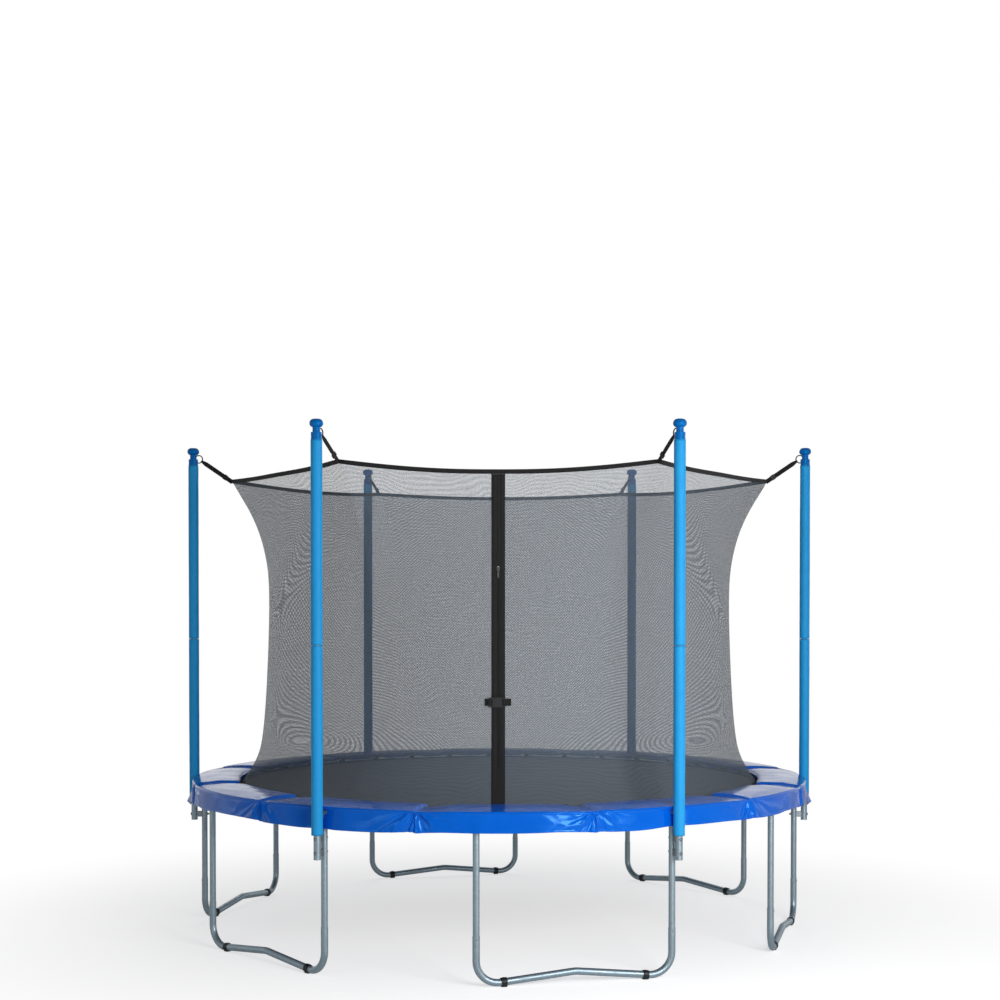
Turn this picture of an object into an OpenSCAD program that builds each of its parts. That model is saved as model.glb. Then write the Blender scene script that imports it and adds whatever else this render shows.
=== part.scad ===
// Round garden trampoline with a safety net enclosure.
// Millimetres, +Z up, origin on the ground at the centre of the ring.
// Angles run from the entrance (-Y) towards +X.

/* [Frame ring] */
// Radius of the ring tube's centre line
ring_r = 1808; // [1800:1:1815]
// Outer diameter of the ring tube
ring_d = 42; // [40:0.5:44]
// Wall thickness of the ring tube
ring_wall = 1.6; // [1.4:0.1:2]
// Height of the ring tube's centre line
ring_z = 864; // [862:1:866]
// Springs fitted to each of the six ring sections
springs_per_rail = 12; // [12]

/* [Legs] */
// Angle between the two uprights of one leg
leg_angle = 33.5; // [32:0.5:35]
// Outer diameter of the leg base tube
leg_d = 38; // [37.6:0.1:38.4]
// Outer diameter of the upright tube that plugs into the base
upright_d = 34.8; // [34.2:0.1:34.8]
// Wall thickness of all leg tubes
leg_wall = 1.4; // [1.3:0.1:1.6]
// Height of the joint between leg base and upright
leg_joint_z = 262; // [250:1:280]
// Bend radius at the foot of the leg
leg_bend_r = 115; // [105:1:125]
// Slope of the base tube up to its middle
leg_slope = 5.6; // [4:0.1:6]

/* [Enclosure poles] */
// Radius of the circle of poles
pole_r = 1870; // [1869:1:1872]
// Outer diameter of the pole tube
pole_d = 38; // [37:0.5:38]
// Lower end of the pole tube
pole_bottom = 622; // [600:1:625]
// Upper end of the pole tube and of its foam
pole_top = 2790; // [2760:1:2800]
// Height of the plug joint half way up the pole
pole_joint = 1731; // [1650:1:1800]
// Outer diameter of the foam sleeve
foam_d = 62; // [58:1:62]
// Lower end of the foam sleeve
foam_bottom = 750; // [748:1:760]

/* [Jumping mat] */
// Radius of the woven mat
mat_r = 1575; // [1575]
// Thickness of the woven mat
mat_t = 2.6; // [2:0.1:3]

/* [Safety net] */
// Height of the net's lower edge
net_bottom = 882; // [881:1:884]
// Height of the net's corners at the poles
net_corner_z = 2706; // [2700:1:2720]
// Height of the net's top edge half way between two poles
net_mid_z = 2692; // [2660:1:2700]
// Height of the net's edge over the entrance, where the zip pulls it down
net_front_z = 2653; // [2640:1:2690]
// Thickness of the net as a solid wall
net_t = 2; // [1.6:0.1:2]
// Height of the binding along the top edge
hem_h = 25; // [20:1:30]

/* [Edge pad] */
// Highest point of the pad
pad_top = 914; // [912:1:916]
// Lower edge of the skirt
skirt_bottom = 795; // [790:1:810]
// Thickness of the cover sheet
cover_t = 1.8; // [1.4:0.1:1.8]

/* [Entrance] */
// Height of the zip slider when the entrance is closed
slider_z = 2129; // [1900:1:2200]
// Height of the side release buckle
buckle_z = 1425; // [1300:1:1500]
// Width of the whole zip strip
zip_w = 73; // [66:1:80]

/* [Hidden] */
ids = [1 : 6];
function numbered(word) = [for (k = ids) str(word, "_", k)];

eps = 0.01;
$fn = 48;

galvanised = "#9ab3bf";
foam_blue = "#1f8fe0";
cap_blue = "#0a5cd0";
pad_blue = "#0f5fd8";
mat_black = "#4c4c4d";
net_grey = "#7f878c";
webbing_black = "#2b2b2b";
plastic_black = "#2b3033";
silver = "#c8ccd0";
foam_white = "#e8eaec";

function pole_angle(k) = -90 + 60 * k;
function leg_mid(k) = pole_angle(k) - leg_angle / 2;

// Local frame at an angle: +X runs outwards along the radius, +Y along the circle.
module spoke(a) {
    rotate([0, 0, a - 90]) children();
}

// Point on the object at an angle, a radius and a height.
function polar(a, r, z) = [r * sin(a), -r * cos(a), z];

module ring_2d(r, wall) {
    difference() {
        circle(r);
        circle(r - wall);
    }
}

// Tube bent to an arc in the XY plane, from angle 0.
module arc_tube(bend, r, wall, sweep, steps = 48) {
    rotate_extrude(angle = sweep, $fn = steps) translate([bend, 0]) ring_2d(r, wall, $fn = 48);
}

module straight_tube(r, wall, length) {
    linear_extrude(length) ring_2d(r, wall);
}

// Outline of a strip of even thickness along a path.
function unit(v) = v / norm(v);
function left_of(v) = [-v[1], v[0]];
function corner_shift(p, i, t) =
    let (before = unit(p[max(i, 1)] - p[max(i, 1) - 1]))
    let (after = unit(p[min(i, len(p) - 2) + 1] - p[min(i, len(p) - 2)]))
    let (m = unit(left_of(before) + left_of(after)))
    m * t / 2 / (m * left_of(before));
function strip(p, t) = concat(
    [for (i = [0 : len(p) - 1]) p[i] + corner_shift(p, i, t)],
    [for (i = [len(p) - 1 : -1 : 0]) p[i] - corner_shift(p, i, t)]
);

// Closed solid between two grids of points, given as rows of equal length.
// The front grid's rows run left to right seen from the front.
module sheet_solid(front, back, closed = false) {
    rows = len(front);
    cols = len(front[0]);
    last = closed ? cols - 1 : cols - 2;
    n = rows * cols;
    function f(i, j) = i * cols + j % cols;
    function b(i, j) = n + f(i, j);
    faces = concat(
        [for (i = [0 : rows - 2], j = [0 : last]) each
            [[f(i, j), f(i + 1, j), f(i + 1, j + 1)], [f(i, j), f(i + 1, j + 1), f(i, j + 1)]]],
        [for (i = [0 : rows - 2], j = [0 : last]) each
            [[b(i, j), b(i + 1, j + 1), b(i + 1, j)], [b(i, j), b(i, j + 1), b(i + 1, j + 1)]]],
        [for (j = [0 : last]) each
            [[f(0, j), f(0, j + 1), b(0, j + 1)], [f(0, j), b(0, j + 1), b(0, j)]]],
        [for (j = [0 : last]) each
            [[f(rows - 1, j), b(rows - 1, j), b(rows - 1, j + 1)],
             [f(rows - 1, j), b(rows - 1, j + 1), f(rows - 1, j + 1)]]],
        closed ? [] : [for (i = [0 : rows - 2]) each
            [[f(i, 0), b(i, 0), b(i + 1, 0)], [f(i, 0), b(i + 1, 0), f(i + 1, 0)]]],
        closed ? [] : [for (i = [0 : rows - 2]) each
            [[f(i, cols - 1), f(i + 1, cols - 1), b(i + 1, cols - 1)],
             [f(i, cols - 1), b(i + 1, cols - 1), b(i, cols - 1)]]]
    );
    polyhedron(points = concat([for (r = front) each r], [for (r = back) each r]), faces = faces);
}

// ---------------------------------------------------------------- frame ring

rail_sweep = 60;
ring_steps = 240;
socket_bottom = 797;
socket_wall = 1.4;
swage_r = ring_d / 2 - ring_wall - 0.3;
swage_sweep = 1.9;
spring_pitch = rail_sweep / springs_per_rail;
spring_angle0 = spring_pitch / 2;

// V-ring wire, spring wire and the height at which the spring hooks lie.
v_wire_r = 2;
v_base_r = 1600;
v_apex_r = 1638;
v_half_w = 26;
hook_wire_r = 1.6;
hook_gap = 0.3;
hook_z = ring_z + v_wire_r + hook_wire_r + hook_gap;

module rail_socket() {
    difference() {
        translate([ring_r, 0, socket_bottom])
            straight_tube(leg_d / 2, socket_wall, ring_z - socket_bottom);
        rotate([0, 0, -2])
            rotate_extrude(angle = 4) translate([ring_r, ring_z]) circle(ring_d / 2 - eps);
    }
}

module frame_rail(k) {
    start = leg_mid(k) - rail_sweep / 2;
    color(galvanised) difference() {
        union() {
            spoke(start) translate([0, 0, ring_z])
                arc_tube(ring_r, ring_d / 2, ring_wall, rail_sweep, ring_steps);
            spoke(start + rail_sweep - 0.3) translate([0, 0, ring_z])
                arc_tube(ring_r, ring_d / 2 - ring_wall + eps, 2, 0.3, ring_steps);
            spoke(start + rail_sweep - eps) translate([0, 0, ring_z])
                arc_tube(ring_r, swage_r, ring_wall, swage_sweep, ring_steps);
            for (side = [-1, 1]) spoke(leg_mid(k) + side * leg_angle / 2) rail_socket();
        }
        for (i = [0 : springs_per_rail - 1]) {
            a = spring_angle0 + spring_pitch * (ceil((start - spring_angle0) / spring_pitch) + i);
            spoke(a) translate([ring_r - ring_d / 2 - 2, -2.5, hook_z - hook_wire_r])
                cube([8, 5, 9]);
        }
    }
}

// ---------------------------------------------------------------------- legs

half_span = ring_r * sin(leg_angle / 2);
chord_r = ring_r * cos(leg_angle / 2);
foot_axis_z = 21.5;
foot_centre_z = foot_axis_z + leg_bend_r;
foot_end = [half_span - leg_bend_r * (1 + sin(leg_slope)), foot_centre_z - leg_bend_r * cos(leg_slope)];
crown_bend_r = 150;
crown_start = crown_bend_r * sin(leg_slope);
slope_run = foot_end[0] - crown_start;
slope_len = slope_run / cos(leg_slope);
crown_centre_z = foot_end[1] + slope_run * tan(leg_slope) - crown_bend_r * cos(leg_slope);
screw_z = leg_joint_z - 16;
screw_hole_d = 4.2;
// The wall draws thin in a bend, and each straight run laps over the bend's end.
bend_thinning = 0.1;
bend_lap = 0.5;

module leg_bend(bend, sweep) {
    arc_tube(bend, leg_d / 2 - bend_thinning, leg_wall - 2 * bend_thinning, sweep);
}

// Half of the leg base without its middle bend, on the +X side, in the XZ plane.
module leg_base_half() {
    translate([half_span, 0, foot_centre_z - bend_lap])
        straight_tube(leg_d / 2, leg_wall, leg_joint_z - foot_centre_z + bend_lap);
    translate([half_span - leg_bend_r, 0, foot_centre_z]) rotate([90, 0, 0])
        rotate([0, 0, -90 - leg_slope]) leg_bend(leg_bend_r, 90 + leg_slope);
    translate([foot_end[0], 0, foot_end[1]]) rotate([0, leg_slope - 90, 0])
        translate([0, 0, -bend_lap])
            straight_tube(leg_d / 2, leg_wall, slope_len + 2 * bend_lap);
}

module leg_place(k) {
    rotate([0, 0, leg_mid(k)]) translate([0, -chord_r, 0]) children();
}

module leg_base(k) {
    color(galvanised) leg_place(k) difference() {
        union() {
            leg_base_half();
            mirror([1, 0, 0]) leg_base_half();
            translate([0, 0, crown_centre_z]) rotate([90, 0, 0]) rotate([0, 0, 90 - leg_slope])
                leg_bend(crown_bend_r, 2 * leg_slope);
        }
        for (side = [-1, 1]) translate([side * half_span, -leg_d / 2 - 1, screw_z])
            rotate([-90, 0, 0]) cylinder(h = 8, d = screw_hole_d);
    }
}

bolt_zs = [657, 730];
bolt_d = 7.8;
bolt_hole_d = 8.4;
upright_bottom = 200;
upright_top = ring_z - ring_d / 2 - 5;

module bolt_hole(from, to) {
    for (z = bolt_zs) translate([from, 0, z]) rotate([0, 90, 0])
        cylinder(h = to - from, d = bolt_hole_d);
}

module leg_uprights(k) {
    color(galvanised) difference() {
        for (side = [-1, 1]) spoke(leg_mid(k) + side * leg_angle / 2)
            translate([ring_r, 0, upright_bottom])
                straight_tube(upright_d / 2, leg_wall, upright_top - upright_bottom);
        spoke(pole_angle(k)) bolt_hole(ring_r - 30, ring_r + 30);
        leg_place(k) for (side = [-1, 1]) translate([side * half_span, -leg_d / 2, screw_z])
            rotate([-90, 0, 0]) cylinder(h = 8, d = screw_hole_d);
    }
}

module leg_screws() {
    color(silver) for (k = ids) leg_place(k) for (side = [-1, 1])
        translate([side * half_span, -leg_d / 2, screw_z]) rotate([90, 0, 0]) {
            cylinder(h = 2.6, d1 = 8.4, d2 = 6.6);
            translate([0, 0, -6]) cylinder(h = 6 + eps, d = screw_hole_d - 0.2);
        }
}

cap_centre = foot_end[0] - 18;
cap_axis_z = foot_end[1] + 18 * tan(leg_slope);
cap_len = 30;
cap_r = 23.2;

module foot_cap() {
    difference() {
        intersection() {
            translate([cap_centre, 0, cap_axis_z]) rotate([0, leg_slope - 90, 0])
                translate([0, 0, -cap_len / 2]) {
                    cylinder(h = cap_len, r = cap_r);
                    translate([0, 0, cap_len / 2 - 3]) cylinder(h = 6, r = cap_r + 1.2);
                }
            translate([cap_centre - 40, -40, 0]) cube([80, 80, 80]);
        }
        foot_tube_space();
    }
    difference() {
        translate([cap_centre - cap_len / 2, -13, 0]) cube([cap_len, 26, 14]);
        foot_tube_space();
    }
}

module foot_tube_space() {
    translate([cap_centre, 0, cap_axis_z]) rotate([0, leg_slope - 90, 0])
        translate([0, 0, -cap_len]) cylinder(h = 2 * cap_len, d = leg_d);
}

module foot_caps() {
    color(plastic_black) for (k = ids) leg_place(k) {
        foot_cap();
        mirror([1, 0, 0]) foot_cap();
    }
}

// --------------------------------------------------------------------- poles

pole_wall = 1.5;
bracket_half_h = 17;
bracket_half_w = 9;
bracket_sheet = 3;

module pole(k) {
    color(galvanised) spoke(pole_angle(k)) difference() {
        translate([pole_r, 0, 0]) {
            translate([0, 0, pole_bottom])
                straight_tube(pole_d / 2, pole_wall, pole_joint - pole_bottom);
            translate([0, 0, pole_joint])
                straight_tube(pole_d / 2, pole_wall, pole_top - pole_joint);
            translate([0, 0, pole_joint - 70])
                straight_tube(pole_d / 2 - pole_wall - 0.2, pole_wall, 78);
            translate([0, 0, pole_joint + 4])
                straight_tube(pole_d / 2 - pole_wall + eps, pole_wall, 4);
        }
        bolt_hole(pole_r - 30, pole_r + 30);
    }
}

module foam_sleeve(k) {
    wall = (foam_d - pole_d) / 2 - 0.2;
    color(foam_blue) spoke(pole_angle(k)) translate([pole_r, 0, 0]) {
        translate([0, 0, foam_bottom])
            straight_tube(foam_d / 2, wall, pole_joint - foam_bottom - 0.5);
        translate([0, 0, pole_joint])
            straight_tube(foam_d / 2, wall, pole_top - pole_joint);
    }
}

collar_r = 28.5;
collar_h = 38;
neck_r = 20;
knob_r = 36;
knob_half_h = 22;
knob_z = 85;
cap_ring_r = 23;
cap_ring_wire_r = 2.2;
cap_ring_at = [pole_r - collar_r - 5, pole_top + 39];

module cap_ring_torus(r) {
    translate([cap_ring_at[0], 0, cap_ring_at[1]]) rotate([90, 0, 0])
        rotate_extrude() translate([cap_ring_r, 0]) circle(r);
}

module pole_cap(k) {
    color(cap_blue) spoke(pole_angle(k)) difference() {
        translate([pole_r, 0, pole_top]) rotate_extrude() intersection() {
            union() {
                translate([0, -28]) square([pole_d / 2 - pole_wall - 0.2, 30]);
                square([collar_r, collar_h * 0.4]);
                square([collar_r - 1, collar_h * 0.55]);
                translate([0, collar_h * 0.55]) square([collar_r, collar_h * 0.45]);
                square([neck_r, knob_z]);
                translate([0, knob_z - knob_half_h]) square([knob_r - knob_half_h, 2 * knob_half_h]);
                translate([knob_r - knob_half_h, knob_z]) circle(knob_half_h);
            }
            translate([0, -40]) square([60, 160]);
        }
        cap_ring_torus(cap_ring_wire_r + 0.2);
    }
}

module cap_rings() {
    color(webbing_black) for (k = ids) spoke(pole_angle(k)) cap_ring_torus(cap_ring_wire_r);
}

// Saddle between a leg's upright and a pole, one round each bolt.
module pole_bracket() {
    difference() {
        translate([0, 0, -bracket_half_h]) linear_extrude(2 * bracket_half_h) difference() {
            union() {
                for (side = [-1, 1]) translate([ring_r + 3, side > 0 ? bracket_half_w - bracket_sheet : -bracket_half_w])
                    square([pole_r - ring_r - 6, bracket_sheet]);
                translate([(ring_r + pole_r) / 2 - 4, -bracket_half_w])
                    square([bracket_sheet, 2 * bracket_half_w]);
            }
            translate([ring_r, 0]) circle(d = upright_d + 0.04);
            translate([pole_r, 0]) circle(d = pole_d + 0.04);
        }
        translate([ring_r, 0, 0]) rotate([0, 90, 0]) cylinder(h = pole_r - ring_r, d = bolt_hole_d);
    }
}

module pole_brackets() {
    color(silver) for (k = ids) spoke(pole_angle(k)) for (z = bolt_zs)
        translate([0, 0, z]) pole_bracket();
}

module bracket_bolt() {
    inner = ring_r - upright_d / 2;
    outer = pole_r + pole_d / 2;
    rotate([0, 90, 0]) {
        translate([0, 0, inner - 12]) cylinder(h = outer - inner + 12, d = bolt_d);
        translate([0, 0, inner - 6.5]) cylinder(h = 6.5, d = 15, $fn = 6);
        translate([0, 0, outer]) cylinder(h = 1.7, d = 19);
        translate([0, 0, outer + 1.7]) cylinder(h = 3.5, d1 = 17, d2 = 8);
    }
}

module bracket_bolts() {
    color(silver) for (k = ids) spoke(pole_angle(k)) for (z = bolt_zs)
        translate([0, 0, z]) bracket_bolt();
}

// ------------------------------------------------------- springs and the mat

spring_in = 1652;
spring_out = 1772;
spring_r = 12;
spring_bore_r = 9.6;
spring_end_t = 2.4;
hook_tip_half = 1.5;
hook_drop = 8;
inner_hook_r = v_apex_r - 7.8;
outer_hook_r = 1800;

// Coil body and the straight wires of both hooks on one axis, with the hooks' ends turned down.
module spring() {
    len = spring_out - spring_in;
    from = inner_hook_r - spring_in;
    to = outer_hook_r - spring_in;
    translate([spring_in, 0, hook_z]) rotate([0, 90, 0]) rotate_extrude() polygon([
        [0, from], [hook_wire_r, from], [hook_wire_r, 0], [spring_r, 0],
        [spring_r, len], [hook_wire_r, len], [hook_wire_r, to], [0, to],
        [0, len - spring_end_t], [spring_bore_r, len - spring_end_t],
        [spring_bore_r, spring_end_t], [0, spring_end_t]
    ]);
    for (r = [inner_hook_r, outer_hook_r]) translate([r - hook_tip_half, -hook_tip_half, hook_z - hook_drop])
        cube([2 * hook_tip_half, 2 * hook_tip_half, hook_drop]);
}

spring_count = 6 * springs_per_rail;

module springs() {
    color(silver) for (i = [0 : spring_count - 1]) spoke(spring_angle0 + i * spring_pitch) spring();
}

mat_z = ring_z - mat_t / 2;
webbing_in = 1545;
webbing_out = 1592;
webbing_half_h = 3;
tab_half_w = 11;
tab_out = v_base_r + 5.5;

module jump_mat() {
    color(mat_black) translate([0, 0, mat_z]) cylinder(h = mat_t, r = mat_r, $fn = 144);
}

module mat_webbing() {
    color(webbing_black) difference() {
        union() {
            rotate_extrude($fn = 144) translate([0, ring_z]) difference() {
                translate([webbing_in, -webbing_half_h]) square([webbing_out - webbing_in, 2 * webbing_half_h]);
                translate([webbing_in - 1, -mat_t / 2]) square([mat_r - webbing_in + 1, mat_t]);
            }
            for (i = [0 : spring_count - 1]) spoke(spring_angle0 + i * spring_pitch)
                translate([webbing_out - 1, -tab_half_w, ring_z - webbing_half_h])
                    cube([tab_out - webbing_out + 1, 2 * tab_half_w, 2 * webbing_half_h]);
        }
        for (i = [0 : spring_count - 1]) spoke(spring_angle0 + i * spring_pitch)
            translate([v_base_r - v_wire_r, -tab_half_w - 1, ring_z - v_wire_r])
                cube([2 * v_wire_r, 2 * tab_half_w + 2, 2 * v_wire_r]);
    }
}

// Flat run of the ring's wire between two points.
module wire_2d(from, to) {
    d = to - from;
    translate(from) rotate(atan2(d[1], d[0])) translate([0, -v_wire_r]) square([norm(d), 2 * v_wire_r]);
    translate(from) circle(v_wire_r, $fn = 24);
}

module v_ring() {
    corners = [[v_base_r, -v_half_w], [v_apex_r, 0], [v_base_r, v_half_w]];
    translate([0, 0, ring_z - v_wire_r]) linear_extrude(2 * v_wire_r)
        for (i = [0 : 2]) wire_2d(corners[i], corners[(i + 1) % 3]);
}

module v_rings() {
    color(silver) for (i = [0 : spring_count - 1]) spoke(spring_angle0 + i * spring_pitch) v_ring();
}

// ----------------------------------------------------------------- edge pad

seam_step = 30;
foam_top = 899;
foam_low = ring_z + ring_d / 2;
foam_in = 1588;
foam_out = 1830;

// 1 at a seam between two pad segments, falling to 0 within six degrees.
function seam(a) = let (d = abs(((a + 360) % seam_step) - seam_step / 2)) pow(max(0, 1 - d / 6), 1.5);
// 1 where the cover is pressed in by a pole's foam.
function at_pole(a) = let (d = abs(((a + 390) % 60) - 30)) d > 29.9 ? 1 : 0;

function cover_line(a) = let (s = seam(a), p = at_pole(a)) [
    [1776, foam_low - 2],
    [1577 + 5 * s, foam_low - 2],
    [1573 + 9 * s, 898 - 3 * s],
    [1592 + 7 * s, pad_top - 5 - 7 * s],
    [1680, pad_top - 8 * s],
    [1836 - 3 * p, pad_top - 2 - 6 * s],
    [1851 - 15.5 * p - 4 * s, pad_top - 12 - 3 * s],
    [1861 - 25.5 * p - 3 * s, skirt_bottom]
];
function cover_inside(q) = [for (i = [0 : len(q) - 1]) q[i] + 2 * corner_shift(q, i, -cover_t)];

cover_angles = [for (a = [0 : 5 : 355]) a];
cover_lines = [for (a = cover_angles) cover_line(a)];
cover_backs = [for (q = cover_lines) cover_inside(q)];

// Corner tongues of the skirt that lap outside the two side poles.
flap_spots = [[194, -26], [95, 4], [45, 25], [-27, 43]];
flap_tops = [902, 900, 897, 884];
flap_feet = [794, 778, 762, 735];

module skirt_flap() {
    outside = strip_side(flap_spots, -1);
    inside = strip_side(flap_spots, 1);
    sheet_solid(
        [flap_row(outside, flap_tops), flap_row(outside, flap_feet)],
        [flap_row(inside, flap_tops), flap_row(inside, flap_feet)]
    );
}
function strip_side(p, side) = [for (i = [0 : len(p) - 1]) p[i] + side * corner_shift(p, i, cover_t)];
function flap_row(p, z) = [for (i = [0 : len(p) - 1]) [-p[i][0], -pole_r - p[i][1], z[i]]];

module pad_cover() {
    color(pad_blue) {
        sheet_solid(
            [for (i = [0 : 7]) [for (j = [0 : 71]) polar(cover_angles[j], cover_lines[j][i][0], cover_lines[j][i][1])]],
            [for (i = [0 : 7]) [for (j = [0 : 71]) polar(cover_angles[j], cover_backs[j][i][0], cover_backs[j][i][1])]],
            closed = true
        );
        rotate([0, 0, 90]) skirt_flap();
        mirror([1, 0, 0]) rotate([0, 0, 90]) skirt_flap();
    }
}

module pad_foam() {
    color(foam_white) for (i = [0 : 11]) spoke(seam_step * (i - 0.5) + 1.2)
        rotate_extrude(angle = seam_step - 2.4) polygon([
            [foam_in, foam_low], [foam_out, foam_low], [foam_out, foam_top - 6], [foam_out - 8, foam_top],
            [foam_in + 20, foam_top], [foam_in, foam_top - 7]
        ]);
}

// --------------------------------------------------------------- safety net

zip_foot_z = 1080;
zip_foot_r = 1440;
zip_slant = 0.0585;
flare_z = 2180;
top_flare = 95;
back_lift = 20;
net_base_r = 1558;
waist_r = 1390;

// Height that a share of the net's height has at a pole and half way between poles.
function corner_z(a) = net_corner_z + back_lift * max(0, -cos(a));
function pole_z(a, s) = net_bottom + s * (corner_z(a) - net_bottom);
function top_z(a) = cos(a) > cos(30) ? net_front_z : net_mid_z;
function mid_z(a, s) = net_bottom + s * (top_z(a) - net_bottom);
// How far a corner is pulled out: further at the four poles beside the entrance and the back.
function corner_reach(a) = 250 + 60 * pow(cos(a), 2);
// Radius of the net at a pole.
function pole_line(a, z) = waist_r + (net_base_r - waist_r) * exp((net_bottom - z) / 215)
    + corner_reach(a) * exp(-pow(max(0, corner_z(a) - z) / 297, 1.3));
// Radius half way between poles: straight along the zip, flared below it and near the hem.
function mid_line(z) = z > zip_foot_z
    ? zip_foot_r - zip_slant * (z - zip_foot_z)
        + top_flare * pow(max(0, z - flare_z) / (net_front_z - flare_z), 2)
    : let (d = zip_foot_z - z, full = zip_foot_z - net_bottom)
      zip_foot_r + zip_slant * d + (net_base_r - zip_foot_r - zip_slant * full) * pow(d / full, 2);
// 1 at a pole, 0 half way between two poles.
function pull(a) = pow(abs(((a + 390) % 60) / 30 - 1), 2.4);
function net_point(a, s, out) = let (w = pull(a), high = pole_z(a, s), between = mid_z(a, s))
    polar(a, mid_line(between) * (1 - w) + pole_line(a, high) * w + out, between * (1 - w) + high * w);

// Shares of the net's height at its rows. The net ends a tenth of a millimetre under its hem.
hem_share = 1 - hem_h / (net_front_z - net_bottom);
foot_share = (zip_foot_z - net_bottom) / (net_front_z - net_bottom);
flare_share = (flare_z - net_bottom) / (net_front_z - net_bottom);
hem_gap = 0.1 / (net_front_z - net_bottom);
net_shares = [
    0, 0.02, 0.05, 0.08, foot_share, 0.16, 0.26, 0.42, 0.58, flare_share, 0.83, 0.92, hem_share - hem_gap
];
span_angles = [0, 10, 19, 25, 30, 35, 41, 50];
ring_angles = [for (k = [0 : 5], a = span_angles) 60 * k + a];
gap_half = 14;
gap_angle = asin(gap_half / zip_foot_r);
tape_angle = 1.6;
net_angles = concat(
    [gap_angle, tape_angle], [for (a = ring_angles) if (a > 0) a], [360 - tape_angle, 360 - gap_angle]
);
hem_angles = concat([0], net_angles);

module net() {
    color(net_grey) sheet_solid(
        [for (s = net_shares) [for (a = net_angles) net_point(a, s, -net_t / 2)]],
        [for (s = net_shares) [for (a = net_angles) net_point(a, s, net_t / 2)]]
    );
}

module net_hem() {
    color(webbing_black) sheet_solid(
        [for (s = [hem_share, 1]) [for (a = hem_angles) net_point(a, s, -3)]],
        [for (s = [hem_share, 1]) [for (a = hem_angles) net_point(a, s, 3)]],
        closed = true
    );
}

hook_count = 36;
hook_side = 15.5;
hook_w = 6;
hook_top = ring_z + 13;
shank_low = ring_z + 7.5;
eye_in = 1562.2;
eye_bar = 3;
eye_slot = 4.3;
eye_half_w = 15.5;

// Snap hook: a closed hook round the V-ring's base bar and an eye for the webbing.
module net_hook() {
    translate([0, hook_side + hook_w / 2, 0]) rotate([90, 0, 0]) linear_extrude(hook_w) difference() {
        union() {
            translate([1594.2, ring_z - 5.8]) square([12, 12]);
            translate([1600.2, ring_z - 2.8]) circle(3.4);
            translate([1570, shank_low]) square([36.2, hook_top - shank_low]);
            translate([1598, ring_z + 4]) square([8.2, 6]);
        }
        translate([1597.2, ring_z - 2.3]) square([5.1, 7.3]);
    }
    difference() {
        translate([eye_in, hook_side - eye_half_w, shank_low])
            cube([eye_bar + eye_slot + 4, 2 * eye_half_w, hook_top - shank_low]);
        translate([eye_in + eye_bar, hook_side - eye_half_w + 2.5, shank_low - 1])
            cube([eye_slot, 2 * eye_half_w - 5, 10]);
    }
}

module net_hooks() {
    color(plastic_black) for (i = [0 : hook_count - 1]) spoke(spring_angle0 + 10 * i) net_hook();
}

module net_tab() {
    path = [
        [eye_in + 5, hook_top + 1.6], [eye_in + 5, shank_low - 1.4], [eye_in - 1.6, shank_low - 1.4],
        [eye_in - 1.6, net_bottom + 2], [eye_in - 10.7, net_bottom + 14]
    ];
    translate([0, hook_side + 12.5, 0]) rotate([90, 0, 0]) linear_extrude(25) polygon(strip(path, 1.5));
}

module net_tabs() {
    color(webbing_black) for (i = [0 : hook_count - 1]) spoke(spring_angle0 + 10 * i) net_tab();
}

// Straps lie in the plane of the pole, from the ring at the cap to the net's corner.
function corner_at(k) = let (z = corner_z(pole_angle(k)) - hem_h / 2) [pole_line(pole_angle(k), z), z - 1];
function strap_run(k) = corner_at(k) - cap_ring_at;
function strap_len(k) = norm(strap_run(k));
strap_w = 24;
strap_t = 3;

// Local frame at the ring's centre: +X along the strap, +Y across it, +Z along the circle.
module strap_frame(k) {
    spoke(pole_angle(k)) translate([cap_ring_at[0], 0, cap_ring_at[1]]) rotate([90, 0, 0])
        rotate([0, 0, atan2(strap_run(k)[1], strap_run(k)[0])]) children();
}

module net_straps() {
    color(webbing_black) for (k = ids) strap_frame(k) {
        difference() {
            union() {
                translate([cap_ring_r, -6, 0]) rotate([-90, 0, 0]) cylinder(h = 12, r = 4.8);
                translate([cap_ring_r + 3.5, -5, -3]) cube([6, 10, 6]);
            }
            cap_ring_hole();
        }
        translate([0, 0, -strap_t / 2]) linear_extrude(strap_t) polygon([
            [cap_ring_r + 6, -5], [cap_ring_r + 26, -strap_w / 2], [strap_len(k), -strap_w / 2],
            [strap_len(k), strap_w / 2], [cap_ring_r + 26, strap_w / 2], [cap_ring_r + 6, 5]
        ]);
    }
}

module cap_ring_hole() {
    rotate_extrude() translate([cap_ring_r, 0]) circle(cap_ring_wire_r + 0.1);
}

module strap_adjusters() {
    color(plastic_black) for (k = ids) strap_frame(k) translate([strap_len(k) - 46, 0, 0]) difference() {
        translate([-11, -strap_w / 2 - 4, -4.5]) cube([22, strap_w + 8, 9]);
        translate([-12, -strap_w / 2 - 0.2, -strap_t / 2 - 0.1]) cube([24, strap_w + 0.4, strap_t + 0.2]);
        for (x = [-7, 1.5]) translate([x, -strap_w / 2, -5]) cube([5.5, strap_w, 10]);
    }
}

// ------------------------------------------------------------ zip and buckle

zip_lean = atan(zip_slant);
tape_t = 1.6;
tape_back = 1.2;
chain_half_w = 4;

// Local frame on the zip's centre line: -Y faces out, +Z runs up the zip from its foot.
module zip_frame(up = 0) {
    translate([0, -zip_foot_r, zip_foot_z]) rotate([-zip_lean, 0, 0]) translate([0, 0, up]) children();
}
function zip_up(z) = (z - zip_foot_z) / cos(zip_lean);

function zip_path(out) = [for (s = net_shares) [-mid_line(mid_z(0, s)) - out, mid_z(0, s)]];

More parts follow.
